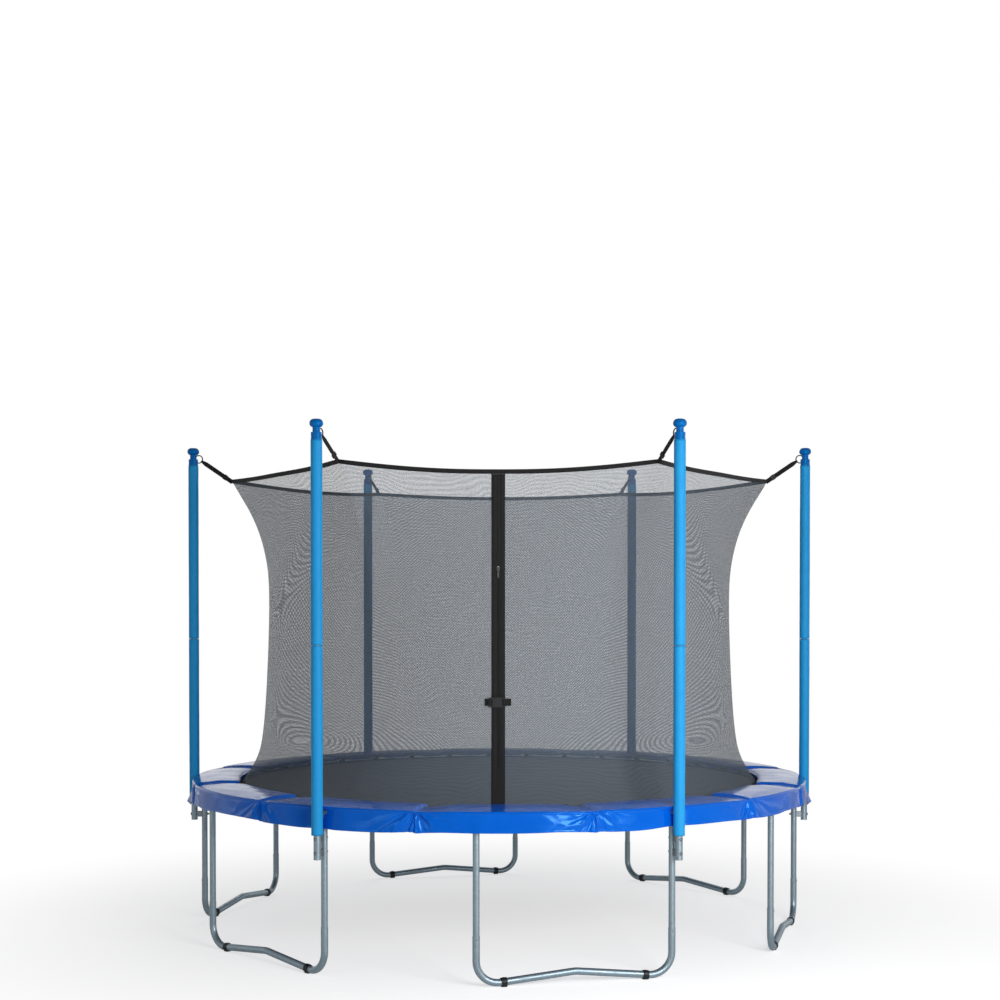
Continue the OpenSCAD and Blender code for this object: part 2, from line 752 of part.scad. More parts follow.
module zip_tape() {
    width = zip_w / 2 - chain_half_w;
    back = zip_path(tape_back);
    front = zip_path(tape_back + tape_t);
    color(webbing_black) for (x = [-zip_w / 2, chain_half_w]) translate([x, 0, 0])
        rotate([90, 0, 90]) linear_extrude(width)
            polygon(concat(back, [for (i = [len(front) - 1 : -1 : 0]) front[i]]));
}

chain_front = 4.4;
chain_behind = 0.2;
slider_up = zip_up(slider_z);

module zip_chain() {
    color(plastic_black) zip_frame() translate([-chain_half_w, -chain_front, 4])
        cube([2 * chain_half_w, chain_front + chain_behind, slider_up - 3]);
}

slider_outline = [[-6, -12], [6, -12], [7.5, 0], [9.5, 8], [5.5, 12], [-5.5, 12], [-9.5, 8], [-7.5, 0]];

// Slab of the slider between two depths, outline in X and Z.
module slider_slab(front, back, inner = 0) {
    translate([0, -back, 0]) rotate([90, 0, 0]) linear_extrude(front - back) difference() {
        polygon(slider_outline);
        if (inner > 0) translate([-inner, -20]) square([2 * inner, 40]);
    }
}

bail_half_w = 1.5;
pull_pivot = [8, -3];
pull_t = 1.8;

module zip_slider() {
    color(silver) zip_frame(slider_up) {
        slider_slab(6.6, 4.8);
        slider_slab(4.8 + eps, 3.2, 5.2);
        slider_slab(0.8, -0.6 - eps, 5.2);
        slider_slab(-0.6, -2);
        translate([0, 0.7, 7]) rotate([90, 0, 0]) linear_extrude(5.6)
            polygon([[0, -4], [2.6, 0], [1.6, 4], [-1.6, 4], [-2.6, 0]]);
        translate([-bail_half_w, 0, 0]) rotate([90, 0, 90]) linear_extrude(2 * bail_half_w) difference() {
            translate([-11, -7]) square([4.5, 14]);
            translate([-9.4, -5]) square([2.8, 10]);
        }
    }
}

// Slab of the pull, centred on its pivot, outline in X and Z.
module pull_slab(t) {
    translate([0, t / 2, 0]) rotate([90, 0, 0]) linear_extrude(t) children();
}

module zip_pull() {
    color(silver) zip_frame(slider_up) translate([0, -pull_pivot[0], pull_pivot[1]]) difference() {
        union() {
            pull_slab(pull_t) polygon([
                [-4.2, pull_t / 2], [4.2, pull_t / 2], [4.2, -12], [5.5, -20],
                [4.5, -40], [-4.5, -40], [-5.5, -20], [-4.2, -12]
            ]);
            pull_slab(pull_t) translate([0, -40]) circle(4.3);
        }
        pull_slab(4) translate([-2.2, -12]) square([4.4, 12 - pull_t / 2]);
        pull_slab(4) translate([0, -41]) circle(1.8);
    }
}

buckle_up = zip_up(buckle_z);
buckle_half_h = 26;
bar_half_t = 3.5;
body_mid = 20;
webbing_half_w = 19;

// Flat piece of the buckle: outline in X and Z, thickness about the buckle's middle plane.
module buckle_slab(half_t) {
    translate([0, -body_mid + half_t, 0]) rotate([90, 0, 0]) linear_extrude(2 * half_t) children();
}

module rounded_box_2d(x0, x1, half_h, r) {
    translate([x0 + r, -half_h]) square([x1 - x0 - 2 * r, 2 * half_h]);
    translate([x0, -half_h + r]) square([x1 - x0, 2 * half_h - 2 * r]);
    for (x = [x0 + r, x1 - r], z = [-half_h + r, half_h - r]) translate([x, z]) circle(r);
}

module buckle_female() {
    color(plastic_black) zip_frame(buckle_up) difference() {
        union() {
            buckle_slab(6) rounded_box_2d(-22, 20, buckle_half_h, 5);
            buckle_slab(bar_half_t) rounded_box_2d(10, 30, buckle_half_h, 3);
        }
        buckle_slab(3.6) translate([-23, -20.5]) square([39, 41]);
        buckle_slab(3.6) translate([-4, -buckle_half_h - 1]) square([12, 2 * buckle_half_h + 2]);
        buckle_slab(8) translate([20.01, -19.5]) square([4.99, 39]);
    }
}

module buckle_male() {
    color(plastic_black) zip_frame(buckle_up) difference() {
        union() {
            buckle_slab(5) rounded_box_2d(-41, -22.6, buckle_half_h, 4);
            buckle_slab(bar_half_t) rounded_box_2d(-51, -30, buckle_half_h, 3);
            buckle_slab(2) translate([-24, -4]) square([32, 8]);
            buckle_slab(3) polygon([[-24, 12], [0, 13], [0, 19.6], [5, 19.6], [12, 15], [10, 11], [0, 9.5], [-24, 9]]);
            buckle_slab(3) polygon([[-24, -9], [0, -9.5], [10, -11], [12, -15], [5, -19.6], [0, -19.6], [0, -13], [-24, -12]]);
        }
        buckle_slab(8) translate([-46, -19.5]) square([4.99, 39]);
        buckle_slab(8) translate([-36, -19.5]) square([5, 39]);
    }
}

female_strap = [[22.5, -15.5], [22.5, -24.8], [31.7, -24.8], [33, -16], [62, -14], [68, -10], [60, -5], [28, -3.7]];
male_strap = [[-43.5, -15.5], [-43.5, -24.8], [-52.7, -24.8], [-54, -16], [-66, -14], [-72, -10], [-64, -5], [-28, -3.7]];

module buckle_straps() {
    color(webbing_black) zip_frame(buckle_up) for (path = [female_strap, male_strap])
        translate([0, 0, -webbing_half_w]) linear_extrude(2 * webbing_half_w) polygon(strip(path, 1.8));
}

// --------------------------------------------------------------------- nodes

for (k = ids) {
    frame_rail(k);
    leg_base(k);
    leg_uprights(k);
    pole(k);
    foam_sleeve(k);
    pole_cap(k);
}
foot_caps();
leg_screws();
pole_brackets();
bracket_bolts();
springs();
pad_cover();
pad_foam();
jump_mat();
mat_webbing();
v_rings();
net();
net_hem();
net_hooks();
net_tabs();
cap_rings();
net_straps();
strap_adjusters();
zip_tape();
zip_chain();
zip_slider();
zip_pull();
buckle_male();
buckle_female();
buckle_straps();
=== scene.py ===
# %% [markdown]
# # A round garden trampoline with a safety net
#
# The steel frame, the brackets, the caps and the buckle come as finished solids. This lesson
# dresses them: it gives every surface its finish, and it makes what is soft, knitted, woven
# or wound. Each step says what the real piece is, how it could be made, and why it is made
# in this way.

# %% Load the frame
import math

import bmesh
import bpy
import numpy as np
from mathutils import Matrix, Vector, noise


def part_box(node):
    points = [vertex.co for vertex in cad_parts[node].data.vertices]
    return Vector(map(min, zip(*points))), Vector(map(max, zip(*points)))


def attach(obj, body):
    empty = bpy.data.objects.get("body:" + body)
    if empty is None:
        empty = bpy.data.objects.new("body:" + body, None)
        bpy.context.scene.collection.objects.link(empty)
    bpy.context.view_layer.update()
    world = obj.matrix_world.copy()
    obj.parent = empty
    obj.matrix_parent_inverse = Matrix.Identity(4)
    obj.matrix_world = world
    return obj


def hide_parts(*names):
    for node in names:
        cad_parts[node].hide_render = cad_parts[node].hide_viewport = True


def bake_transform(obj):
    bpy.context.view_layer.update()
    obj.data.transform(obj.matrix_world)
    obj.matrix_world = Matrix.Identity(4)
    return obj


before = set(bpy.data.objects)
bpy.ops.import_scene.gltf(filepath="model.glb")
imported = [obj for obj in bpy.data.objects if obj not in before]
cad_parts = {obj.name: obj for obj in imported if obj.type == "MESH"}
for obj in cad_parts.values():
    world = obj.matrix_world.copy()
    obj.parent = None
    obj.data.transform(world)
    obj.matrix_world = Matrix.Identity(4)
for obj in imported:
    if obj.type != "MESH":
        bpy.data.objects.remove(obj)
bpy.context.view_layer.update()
scene = bpy.context.scene
MM = 0.001

# %% [markdown]
# ## Sizes from the frame
#
# Cloth and vinyl have to meet steel, so the sizes that they share are read from the solids.
# Angles run in degrees from the entrance, which faces -Y, towards +X.

# %% Sizes


def middle(node):
    low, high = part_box(node)
    return (low + high) / 2


pole_r = middle("pole_3").x
foam_low, foam_high = (corner.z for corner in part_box("foam_sleeve_3"))
foam_r = (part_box("foam_sleeve_3")[1].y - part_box("foam_sleeve_3")[0].y) / 2
ring_z = middle("mat_webbing").z
mat_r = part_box("jump_mat")[1].x
net_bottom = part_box("net")[0].z
back_lift = 0.020
net_corner_z = 2.706
skirt_r = -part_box("pad_cover")[0].y
pole_angles = [-30, 30, 90, 150, 210, 270]
print(f"pole circle {pole_r:.3f} m, mat {mat_r:.3f} m, net {net_bottom:.3f} to {net_corner_z:.3f} m")


def polar(angle, r, z):
    """A point at an angle in degrees from the entrance, a radius and a height. Arrays work too."""
    turn = np.radians(angle)
    return np.stack(np.broadcast_arrays(r * np.sin(turn), -r * np.cos(turn), z), axis=-1)


# %% [markdown]
# ## Camera, floor and light
#
# The trampoline is seen from ten metres away at about eye height, and the picture is shifted
# up so that the poles stay upright. A lamp just above the eye, in front on the right, lights the
# near side more than the far one, and two fills soften it. The world is white to the camera.
# Shiny surfaces mirror a white backdrop behind the trampoline, dimmer in its middle, and a dim
# room behind the camera, which makes the creases of glossy vinyl show. The floor keeps its shadow.

# %% Camera and light


def add_object(name, data):
    made = bpy.data.objects.new(name, data)
    scene.collection.objects.link(made)
    return made


camera_data = bpy.data.cameras.new("camera")
camera_data.lens = 60.06
camera_data.sensor_width = 36.0
camera_data.shift_y = 0.1369
camera = add_object("camera", camera_data)
camera.location = (0.033, -10.218, 1.9464)
camera.rotation_euler = (math.radians(90 - 1.14), 0.0, math.radians(0.154))
scene.camera = camera
scene.view_settings.view_transform = "Standard"


def linear(hex_colour):
    """The linear colour that a shader wants, from an sRGB hex value."""
    parts = [int(hex_colour[i : i + 2], 16) / 255 for i in (1, 3, 5)]
    return (*(p / 12.92 if p <= 0.04045 else ((p + 0.055) / 1.055) ** 2.4 for p in parts), 1.0)


def add_node(tree, kind, inputs=(), **settings):
    """Add a node, set its properties, and give its sockets a value or a link each."""
    made = tree.nodes.new(kind)
    for name, value in settings.items():
        setattr(made, name, value)
    for socket, value in dict(inputs).items():
        if isinstance(value, bpy.types.NodeSocket):
            tree.links.new(value, made.inputs[socket])
        else:
            made.inputs[socket].default_value = value
    return made


def result(tree, kind, inputs=(), **settings):
    """The first output of a new node."""
    return add_node(tree, kind, inputs, **settings).outputs[0]


def maths(tree, kind, *values):
    """What a math node makes of its values, which may be numbers or sockets."""
    return result(tree, "ShaderNodeMath", dict(enumerate(values)), operation=kind)


def remap(tree, value, from_range=(0.0, 1.0), to_range=(0.0, 1.0), **settings):
    """A value taken from one range to another."""
    names = ("From Min", "From Max", "To Min", "To Max")
    inputs = {"Value": value, **dict(zip(names, (*from_range, *to_range)))}
    return result(tree, "ShaderNodeMapRange", inputs, **settings)


def add_lamp(name, place, aim, size, watts):
    data = bpy.data.lights.new(name, "AREA")
    data.shape = "RECTANGLE"
    data.size, data.size_y = size
    data.energy = watts
    lamp = add_object(name, data)
    lamp.location = place
    lamp.rotation_euler = (Vector(aim) - Vector(place)).to_track_quat("-Z", "Y").to_euler()


add_lamp("key_lamp", (2.6, -5.4, 2.1), (0.3, -1.0, 1.1), (2.4, 1.8), 165)
add_lamp("left_fill", (-4.5, -6.5, 2.4), (0.0, 0.0, 1.2), (3.0, 2.5), 35)
add_lamp("back_fill", (0.0, 7.0, 5.0), (0.0, 0.0, 1.5), (6.0, 3.0), 70)

world = bpy.data.worlds.new("studio")
scene.world = world
world.use_nodes = True
studio = world.node_tree
studio.nodes.clear()
rays = add_node(studio, "ShaderNodeLightPath").outputs
facing = add_node(studio, "ShaderNodeTexCoord").outputs["Generated"]
way = add_node(studio, "ShaderNodeSeparateXYZ", {0: facing}).outputs


def level(value, low, high, at_low, at_high):
    """A brightness that goes smoothly from at_low to at_high as the value goes from low to high."""
    return remap(studio, value, (low, high), (at_low, at_high), interpolation_type="SMOOTHSTEP")


def combine(kind, first, second):
    return maths(studio, kind, first, second)


soft = combine("MULTIPLY", level(way[2], 0.0, 0.7, 1.0, 0.4), level(way[0], -0.7, 0.5, 0.3, 0.42))
backdrop = combine("MULTIPLY", level(way[1], -0.4, 0.3, 0.3, 1.0), level(way[2], 0.1, 0.6, 1.0, 0.35))
shown_white = combine("MAXIMUM", rays["Is Camera Ray"], rays["Is Transmission Ray"])
aside = level(maths(studio, "ABSOLUTE", way[0]), 0.09, 0.16, 0.3, 1.0)
mirrored = combine("MULTIPLY", combine("MULTIPLY", backdrop, aside), rays["Is Glossy Ray"])
brightness = combine("MAXIMUM", combine("MAXIMUM", soft, mirrored), shown_white)
white = (1.0, 1.0, 1.0, 1.0)
sky = result(studio, "ShaderNodeBackground", {"Color": white, "Strength": brightness})
add_node(studio, "ShaderNodeOutputWorld", {"Surface": sky})

# %% The floor
floor_half = 30.0
floor_mesh = bpy.data.meshes.new("floor")
square = [(-1, -1), (1, -1), (1, 1), (-1, 1)]
corners = [(x * floor_half, y * floor_half, 0.0) for x, y in square]
floor_mesh.from_pydata(corners, [], [(0, 1, 2, 3)])
floor = add_object("floor", floor_mesh)
paper = bpy.data.materials.new("white paper sweep")
paper.use_nodes = True
sheet = paper.node_tree
sheet.nodes.clear()
rays = add_node(sheet, "ShaderNodeLightPath").outputs
matt = result(sheet, "ShaderNodeBsdfDiffuse", {"Color": linear("#e6e6e6")})
seen = maths(sheet, "MULTIPLY_ADD", rays["Is Glossy Ray"], 0.25, rays["Is Camera Ray"])
glow = result(sheet, "ShaderNodeEmission", {"Strength": remap(sheet, seen, to_range=(0.0, 0.6))})
both = result(sheet, "ShaderNodeAddShader", {0: matt, 1: glow})
bright = result(sheet, "ShaderNodeEmission", {"Strength": 1.0})
place = add_node(sheet, "ShaderNodeTexCoord").outputs["Object"]
away = add_node(sheet, "ShaderNodeVectorMath", {0: place}, operation="LENGTH").outputs["Value"]
far = remap(sheet, away, from_range=(1.6, 4.2), interpolation_type="SMOOTHSTEP")
far_seen = maths(sheet, "MULTIPLY", far, seen)
sweep = result(sheet, "ShaderNodeMixShader", {0: far_seen, 1: both, 2: bright})
add_node(sheet, "ShaderNodeOutputMaterial", {"Surface": sweep})
floor_mesh.materials.append(paper)

# %% [markdown]
# ## Finishes
#
# Each finish starts from the real material. A pattern that is finer than the picture can show
# is drawn coarser, and its comment says so. `new_finish` makes the shader with its plain
# values, and each finish then adds its own pattern.

# %% Help for finishes


def new_finish(name, colour, **plain):
    """A material with a principled shader. plain gives its sockets, with _ for a space."""
    made = bpy.data.materials.new(name)
    made.use_nodes = True
    tree = made.node_tree
    shader = tree.nodes["Principled BSDF"]
    shader.inputs["Base Color"].default_value = linear(colour)
    for socket, value in plain.items():
        shader.inputs[socket.replace("_", " ")].default_value = value
    return made, tree, shader


def per_metre(millimetres):
    """Texture scale of a pattern whose features are this big."""
    return 1.0 / (millimetres * MM)


def object_place(tree):
    """Where a point lies on the piece, in metres."""
    return add_node(tree, "ShaderNodeTexCoord").outputs["Object"]


def cloth_place(tree):
    """Where a point lies on flat cloth, in metres: the coordinate and its two axes."""
    spot = result(tree, "ShaderNodeUVMap", uv_map="cloth")
    return spot, add_node(tree, "ShaderNodeSeparateXYZ", {0: spot}).outputs


def cloud_of(tree, place, size_mm, detail=2.0, **more):
    """Soft noise whose blotches are this big."""
    inputs = {"Vector": place, "Scale": per_metre(size_mm), "Detail": detail, **more}
    return add_node(tree, "ShaderNodeTexNoise", inputs).outputs["Fac"]


def two_tones(tree, shader, factor, dark, light):
    """Let the colour go between two tones."""
    inputs = {"Factor": factor, 6: linear(dark), 7: linear(light)}
    tone = add_node(tree, "ShaderNodeMix", inputs, data_type="RGBA")
    tree.links.new(tone.outputs[2], shader.inputs["Base Color"])


def roughen(tree, shader, factor, from_range, to_range):
    """Let the roughness go between two values."""
    tree.links.new(remap(tree, factor, from_range, to_range), shader.inputs["Roughness"])


def emboss(tree, shader, height, depth_mm, **more):
    """Raise the surface by a height of this depth. more gives sockets of the bump."""
    inputs = {"Height": height, "Distance": depth_mm * MM, **more}
    bump = result(tree, "ShaderNodeBump", inputs)
    tree.links.new(bump, shader.inputs["Normal"])
    return bump


# %% Metal


def galvanised_tube():
    """Steel tube, zinc coated before it was bent: a soft grey metal, blotched by the zinc's crystals."""
    made, tree, shader = new_finish("galvanised steel tube", "#99abb5", Metallic=0.75, Roughness=0.38)
    place = object_place(tree)
    crystals = add_node(tree, "ShaderNodeTexVoronoi", {"Vector": place, "Scale": per_metre(11)})
    two_tones(tree, shader, crystals.outputs["Color"], "#93a5af", "#9fb1bb")
    roughen(tree, shader, cloud_of(tree, place, 70, 3.0), (0.3, 0.7), (0.34, 0.5))
    return made


def zinc_plate():
    """Springs, rings, screws and brackets: plain zinc plate, a little duller than the tubes."""
    made, tree, shader = new_finish("zinc plated steel", "#899197", Metallic=1.0, Roughness=0.45)
    roughen(tree, shader, cloud_of(tree, object_place(tree), 9), (0.0, 1.0), (0.35, 0.55))
    return made


# %% Foam


def sleeve_foam():
    """Closed-cell polyethylene foam with its own skin: matt and slightly pitted, never shiny."""
    made, tree, shader = new_finish(
        "polyethylene foam", "#18a0e4", Roughness=0.6, Sheen_Weight=0.08, Specular_IOR_Level=0.3
    )
    place = object_place(tree)
    pits = add_node(
        tree,
        "ShaderNodeTexVoronoi",
        {"Vector": place, "Scale": per_metre(4), "Smoothness": 0.6},
        feature="SMOOTH_F1",
    )
    two_tones(tree, shader, cloud_of(tree, place, 60, 4.0), "#1299de", "#1ea6ea")
    emboss(tree, shader, pits.outputs["Distance"], 0.5, Strength=0.5)
    return made


# %% Moulded plastics


def moulded_plastic(name, colour, roughness, grain_mm, **plain):
    """Injection moulded plastic: an even colour under the fine grain of the mould."""
    made, tree, shader = new_finish(
        name, colour, Roughness=roughness, IOR=1.5, Specular_IOR_Level=0.35, **plain
    )
    place = object_place(tree)
    emboss(tree, shader, cloud_of(tree, place, grain_mm), 0.1, Strength=0.35)
    wear = cloud_of(tree, place, 25, 3.0)
    roughen(tree, shader, wear, (0.0, 1.0), (roughness - 0.06, roughness + 0.08))
    return made


# %% Vinyl


def pad_vinyl():
    """PVC coated cloth: glossy, saturated, with a faint grain and soft unevenness."""
    made, tree, shader = new_finish(
        "glossy PVC vinyl",
        "#0062d6",
        Roughness=0.17,
        IOR=1.53,
        Specular_IOR_Level=0.55,
        Specular_Tint=linear("#7cc8ff"),
    )
    place = object_place(tree)
    waves = cloud_of(tree, place, 150, 1.0, Roughness=0.4)
    roughen(tree, shader, waves, (0.3, 0.7), (0.13, 0.22))
    two_tones(tree, shader, waves, "#005cce", "#0068de")
    fine = emboss(tree, shader, cloud_of(tree, place, 2), 0.03, Strength=0.3)
    emboss(tree, shader, waves, 1.0, Strength=0.3, Normal=fine)
    return made


# %% Woven and knitted cloth


def wave_of(tree, coordinate, period_mm):
    """Sine wave along a coordinate in metres, with this period."""
    turns = maths(tree, "MULTIPLY", coordinate, 2 * math.pi * per_metre(period_mm))
    return maths(tree, "SINE", turns)


def mat_weave():
    """Woven polypropylene tape: near black, with a low sheen. Its 2 mm weave is drawn at 9 mm."""
    made, tree, shader = new_finish(
        "woven polypropylene mat", "#383734", Roughness=0.6, Sheen_Weight=0.05, Specular_IOR_Level=0.3
    )
    axes = add_node(tree, "ShaderNodeSeparateXYZ", {0: object_place(tree)}).outputs
    over = maths(tree, "MULTIPLY", wave_of(tree, axes[0], 9), wave_of(tree, axes[1], 9))
    two_tones(tree, shader, remap(tree, over, (-1.0, 1.0)), "#32312e", "#403f3b")
    emboss(tree, shader, over, 0.4, Strength=0.6)
    return made


def webbing():
    """Woven polypropylene webbing: ribs across the band that slant to a chevron, drawn at 4 mm."""
    made, tree, shader = new_finish(
        "black webbing", "#1c1c1d", Roughness=0.75, Sheen_Weight=0.05, Specular_IOR_Level=0.25
    )
    axes = cloth_place(tree)[1]
    ribs = wave_of(tree, maths(tree, "ADD", axes[0], maths(tree, "ABSOLUTE", axes[1])), 4)
    two_tones(tree, shader, remap(tree, ribs, (-1.0, 1.0)), "#101011", "#2a2a2b")
    emboss(tree, shader, ribs, 0.4, Strength=0.7)
    return made


def knitted_net(cell_w_mm, cell_h_mm, hole_from):
    """Knitted polyethylene net. Its 3 mm holes are drawn larger, and let as much light through.
    Looser and tighter courses of the knit show as faint wavy bands, drawn 19 mm apart."""
    made, tree, shader = new_finish(
        "knitted polyethylene net", "#66707a", Roughness=0.75, Specular_IOR_Level=0.2
    )
    spot, axes = cloth_place(tree)
    checks = maths(
        tree, "MULTIPLY", wave_of(tree, axes[0], cell_w_mm), wave_of(tree, axes[1], cell_h_mm)
    )
    drift = add_node(tree, "ShaderNodeTexNoise", {"Vector": spot, "Scale": 2.2, "Detail": 2.0})
    course = maths(tree, "MULTIPLY_ADD", drift.outputs["Fac"], 0.26, axes[1])
    looser = maths(tree, "MULTIPLY_ADD", wave_of(tree, course, 19), 0.09, checks)
    edge = 0.45
    thread = remap(tree, looser, (hole_from - edge, hole_from + edge), (1.0, 0.0))
    tree.links.new(thread, shader.inputs["Alpha"])
    return made


def sewing_thread():
    """Bonded polyester thread, a little lighter than the webbing that it holds."""
    made, tree, shader = new_finish("polyester thread", "#323234", Roughness=0.6, Specular_IOR_Level=0.3)
    emboss(tree, shader, cloud_of(tree, object_place(tree), 1.5), 0.2)
    return made


# %% All finishes
steel = galvanised_tube()
zinc = zinc_plate()
foam = sleeve_foam()
blue_plastic = moulded_plastic(
    "blue moulded polypropylene", "#046cbc", 0.3, 1.2, Specular_Tint=linear("#86ccff")
)
black_plastic = moulded_plastic("black moulded nylon", "#232628", 0.42, 0.8)
vinyl = pad_vinyl()
weave = mat_weave()
band = webbing()
net_cloth = knitted_net(5, 4, 0.14)
thread = sewing_thread()
cord = new_finish("black elastic cord", "#151516", Roughness=0.8, Specular_IOR_Level=0.2)[0]
coil_nylon = new_finish("black nylon zip coil", "#19191a", Roughness=0.6, Specular_IOR_Level=0.25)[0]
nickel = new_finish("dark nickel zip metal", "#6f7274", Metallic=1.0, Roughness=0.3)[0]
print("finishes:", len(bpy.data.materials))

# %% [markdown]
# ## The rigid parts keep their solids
#
# Tubes, brackets, caps, hooks and the buckle are true solids already. They only need their
# finish, which is put into the material slots that they came with.

# %% Finish the solids
SOLID_FINISH = {
    "frame_rail": steel,
    "leg_base": steel,
    "leg_uprights": steel,
    "pole_": steel,
    "pole_brackets": zinc,
    "bracket_bolts": zinc,
    "leg_screws": zinc,
    "foot_caps": black_plastic,
    "pole_cap": blue_plastic,
    "net_hooks": black_plastic,
    "strap_adjusters": black_plastic,
    "zip_slider": nickel,
    "zip_pull": nickel,
    "buckle_male": black_plastic,
    "buckle_female": black_plastic,
}
for prefix in sorted(SOLID_FINISH, key=len):
    for name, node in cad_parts.items():
        if name.startswith(prefix):
            for place in node.material_slots:
                place.material = SOLID_FINISH[prefix]

# %% [markdown]
# ## Tools for cloth
#
# Every cloth piece here is a grid of points. `piece_from_grid` turns a grid into a mesh and
# gives it a UV map in metres, so that a weave follows the cloth. `ribbon` sweeps a flat band
# with rounded edges along a path, for webbing, hems and tapes. Most bands lie along one of the
# three directions named here.

# %% Mesh helpers
RIGHT, FORWARD, UP = (1.0, 0.0, 0.0), (0.0, -1.0, 0.0), (0.0, 0.0, 1.0)


def add_piece(name, points, faces, finish, uv=None, smooth=True):
    """A mesh object at the origin. uv holds one pair for each corner of each face."""
    mesh = bpy.data.meshes.new(name)
    if isinstance(faces, np.ndarray):
        faces = faces.tolist()
    mesh.from_pydata(np.asarray(points, float).reshape(-1, 3).tolist(), [], faces)
    mesh.materials.append(finish)
    mesh.polygons.foreach_set("use_smooth", [smooth] * len(mesh.polygons))
    if uv is not None:
        layer = mesh.uv_layers.new(name="cloth")
        layer.data.foreach_set("uv", np.asarray(uv, np.float32).ravel())
    return add_object(name, mesh)


def grid_faces(rows, cols, round_cols=False, round_rows=False):
    """Quads of a grid whose points run row by row, and the grid corner of each face corner."""
    i, j = np.meshgrid(
        np.arange(rows if round_rows else rows - 1),
        np.arange(cols if round_cols else cols - 1),
        indexing="ij",
    )
    corners = [(i, j), (i, j + 1), (i + 1, j + 1), (i + 1, j)]
    faces = np.stack([(a % rows) * cols + b % cols for a, b in corners], axis=-1).reshape(-1, 4)
    spots = np.stack([np.stack(c, axis=-1) for c in corners], axis=-2).reshape(-1, 4, 2)
    return faces, spots


def piece_from_grid(name, points, finish, uv_step=(0.01, 0.01), round_cols=False, round_rows=False):
    """Mesh of a grid of points; uv_step is the size in metres of a step along a row and a column."""
    points = np.asarray(points)
    faces, spots = grid_faces(*points.shape[:2], round_cols, round_rows)
    uv = spots[..., ::-1] * np.array(uv_step)
    return add_piece(name, points, faces, finish, uv)


def ribbon(name, path, across, size, finish, closed=False):
    """A flat band along a path. across points over its width, one for all points or one for each.
    size is (width, thickness), where the width may also be one number or one for each point."""
    path = np.asarray(path, float)
    across = np.broadcast_to(np.asarray(across, float), path.shape)
    along = np.gradient(path, axis=0)
    if closed:
        along = np.roll(path, -1, axis=0) - np.roll(path, 1, axis=0)
    along /= np.linalg.norm(along, axis=1, keepdims=True)
    across = across - (across * along).sum(1, keepdims=True) * along
    across /= np.linalg.norm(across, axis=1, keepdims=True)
    out = np.cross(across, along)
    half_w = np.broadcast_to(np.asarray(size[0]) / 2, len(path))
    half_t = size[1] / 2
    flat = half_w - half_t * 0.6
    offset = np.stack([-half_w, -flat, 0 * flat, flat, half_w, flat, 0 * flat, -flat], axis=1)
    lift = half_t * np.array([0, 1, 1, 1, 0, -1, -1, -1])
    points = path[:, None] + offset[..., None] * across[:, None] + lift[:, None] * out[:, None]
    faces, spots = grid_faces(len(path), 8, round_cols=True, round_rows=closed)
    length = np.concatenate([[0], np.cumsum(np.linalg.norm(np.diff(path, axis=0), axis=1))])
    length = np.append(length, length[-1] + np.linalg.norm(path[0] - path[-1]))
    beside = offset[spots[..., 0] % len(path), spots[..., 1] % 8]
    made = add_piece(name, points, faces, finish, np.stack([length[spots[..., 0]], beside], axis=-1))
    if closed:
        return made
    return close_ends(made, [list(range(8))[::-1], [(len(path) - 1) * 8 + i for i in range(8)]])


def close_ends(piece, loops):
    """Add a face over each loop of points."""
    work = bmesh.new()
    work.from_mesh(piece.data)
    work.verts.ensure_lookup_table()
    for loop in loops:
        work.faces.new([work.verts[i] for i in loop])
    work.to_mesh(piece.data)
    work.free()
    return piece


# %% [markdown]
# ## Geometry Nodes trees
#
# Three small trees make the wires and most of what repeats. The first turns a line into a
# wire. The second sets copies round the ring. The third strings beads, such as stitches or zip
# teeth, along a path. `grow` runs a tree and keeps the result as a plain mesh, because copies
# that are only instances would be lost in an export.

# %% Trees


def new_tree(name, sockets):
    tree = bpy.data.node_groups.new(name, "GeometryNodeTree")
    tree.interface.new_socket("Geometry", in_out="OUTPUT", socket_type="NodeSocketGeometry")
    tree.interface.new_socket("Geometry", in_out="INPUT", socket_type="NodeSocketGeometry")
    for label, kind in sockets.items():
        tree.interface.new_socket(label, in_out="INPUT", socket_type="NodeSocket" + kind)
    return tree, add_node(tree, "NodeGroupInput").outputs


def end_tree(tree, geometry, finish):
    real = result(tree, "GeometryNodeRealizeInstances", {0: geometry})
    painted = result(tree, "GeometryNodeSetMaterial", {"Geometry": real, "Material": finish})
    add_node(tree, "NodeGroupOutput", {0: painted})
    return tree


def wire_tree():
    tree, given = new_tree("wire along a line", {"Radius": "Float", "Sides": "Int", "Finish": "Material"})
    line = result(tree, "GeometryNodeMeshToCurve", {"Mesh": given["Geometry"]})
    size = {"Resolution": given["Sides"], "Radius": given["Radius"]}
    rim = result(tree, "GeometryNodeCurvePrimitiveCircle", size)
    swept = {"Curve": line, "Profile Curve": rim, "Fill Caps": True}
    return end_tree(tree, result(tree, "GeometryNodeCurveToMesh", swept), given["Finish"])


def ring_tree():
    tree, given = new_tree(
        "copies round the ring",
        {"Count": "Int", "First Angle": "Float", "Step": "Float", "Finish": "Material"},
    )
    spots = result(tree, "GeometryNodePoints", {"Count": given["Count"]})
    number = result(tree, "GeometryNodeInputIndex")
    turn = maths(tree, "MULTIPLY_ADD", number, given["Step"], given["First Angle"])
    axis = result(tree, "ShaderNodeCombineXYZ", {2: turn})
    spin = result(tree, "FunctionNodeEulerToRotation", {0: axis})
    placed = {"Points": spots, "Instance": given["Geometry"], "Rotation": spin}
    return end_tree(tree, result(tree, "GeometryNodeInstanceOnPoints", placed), given["Finish"])


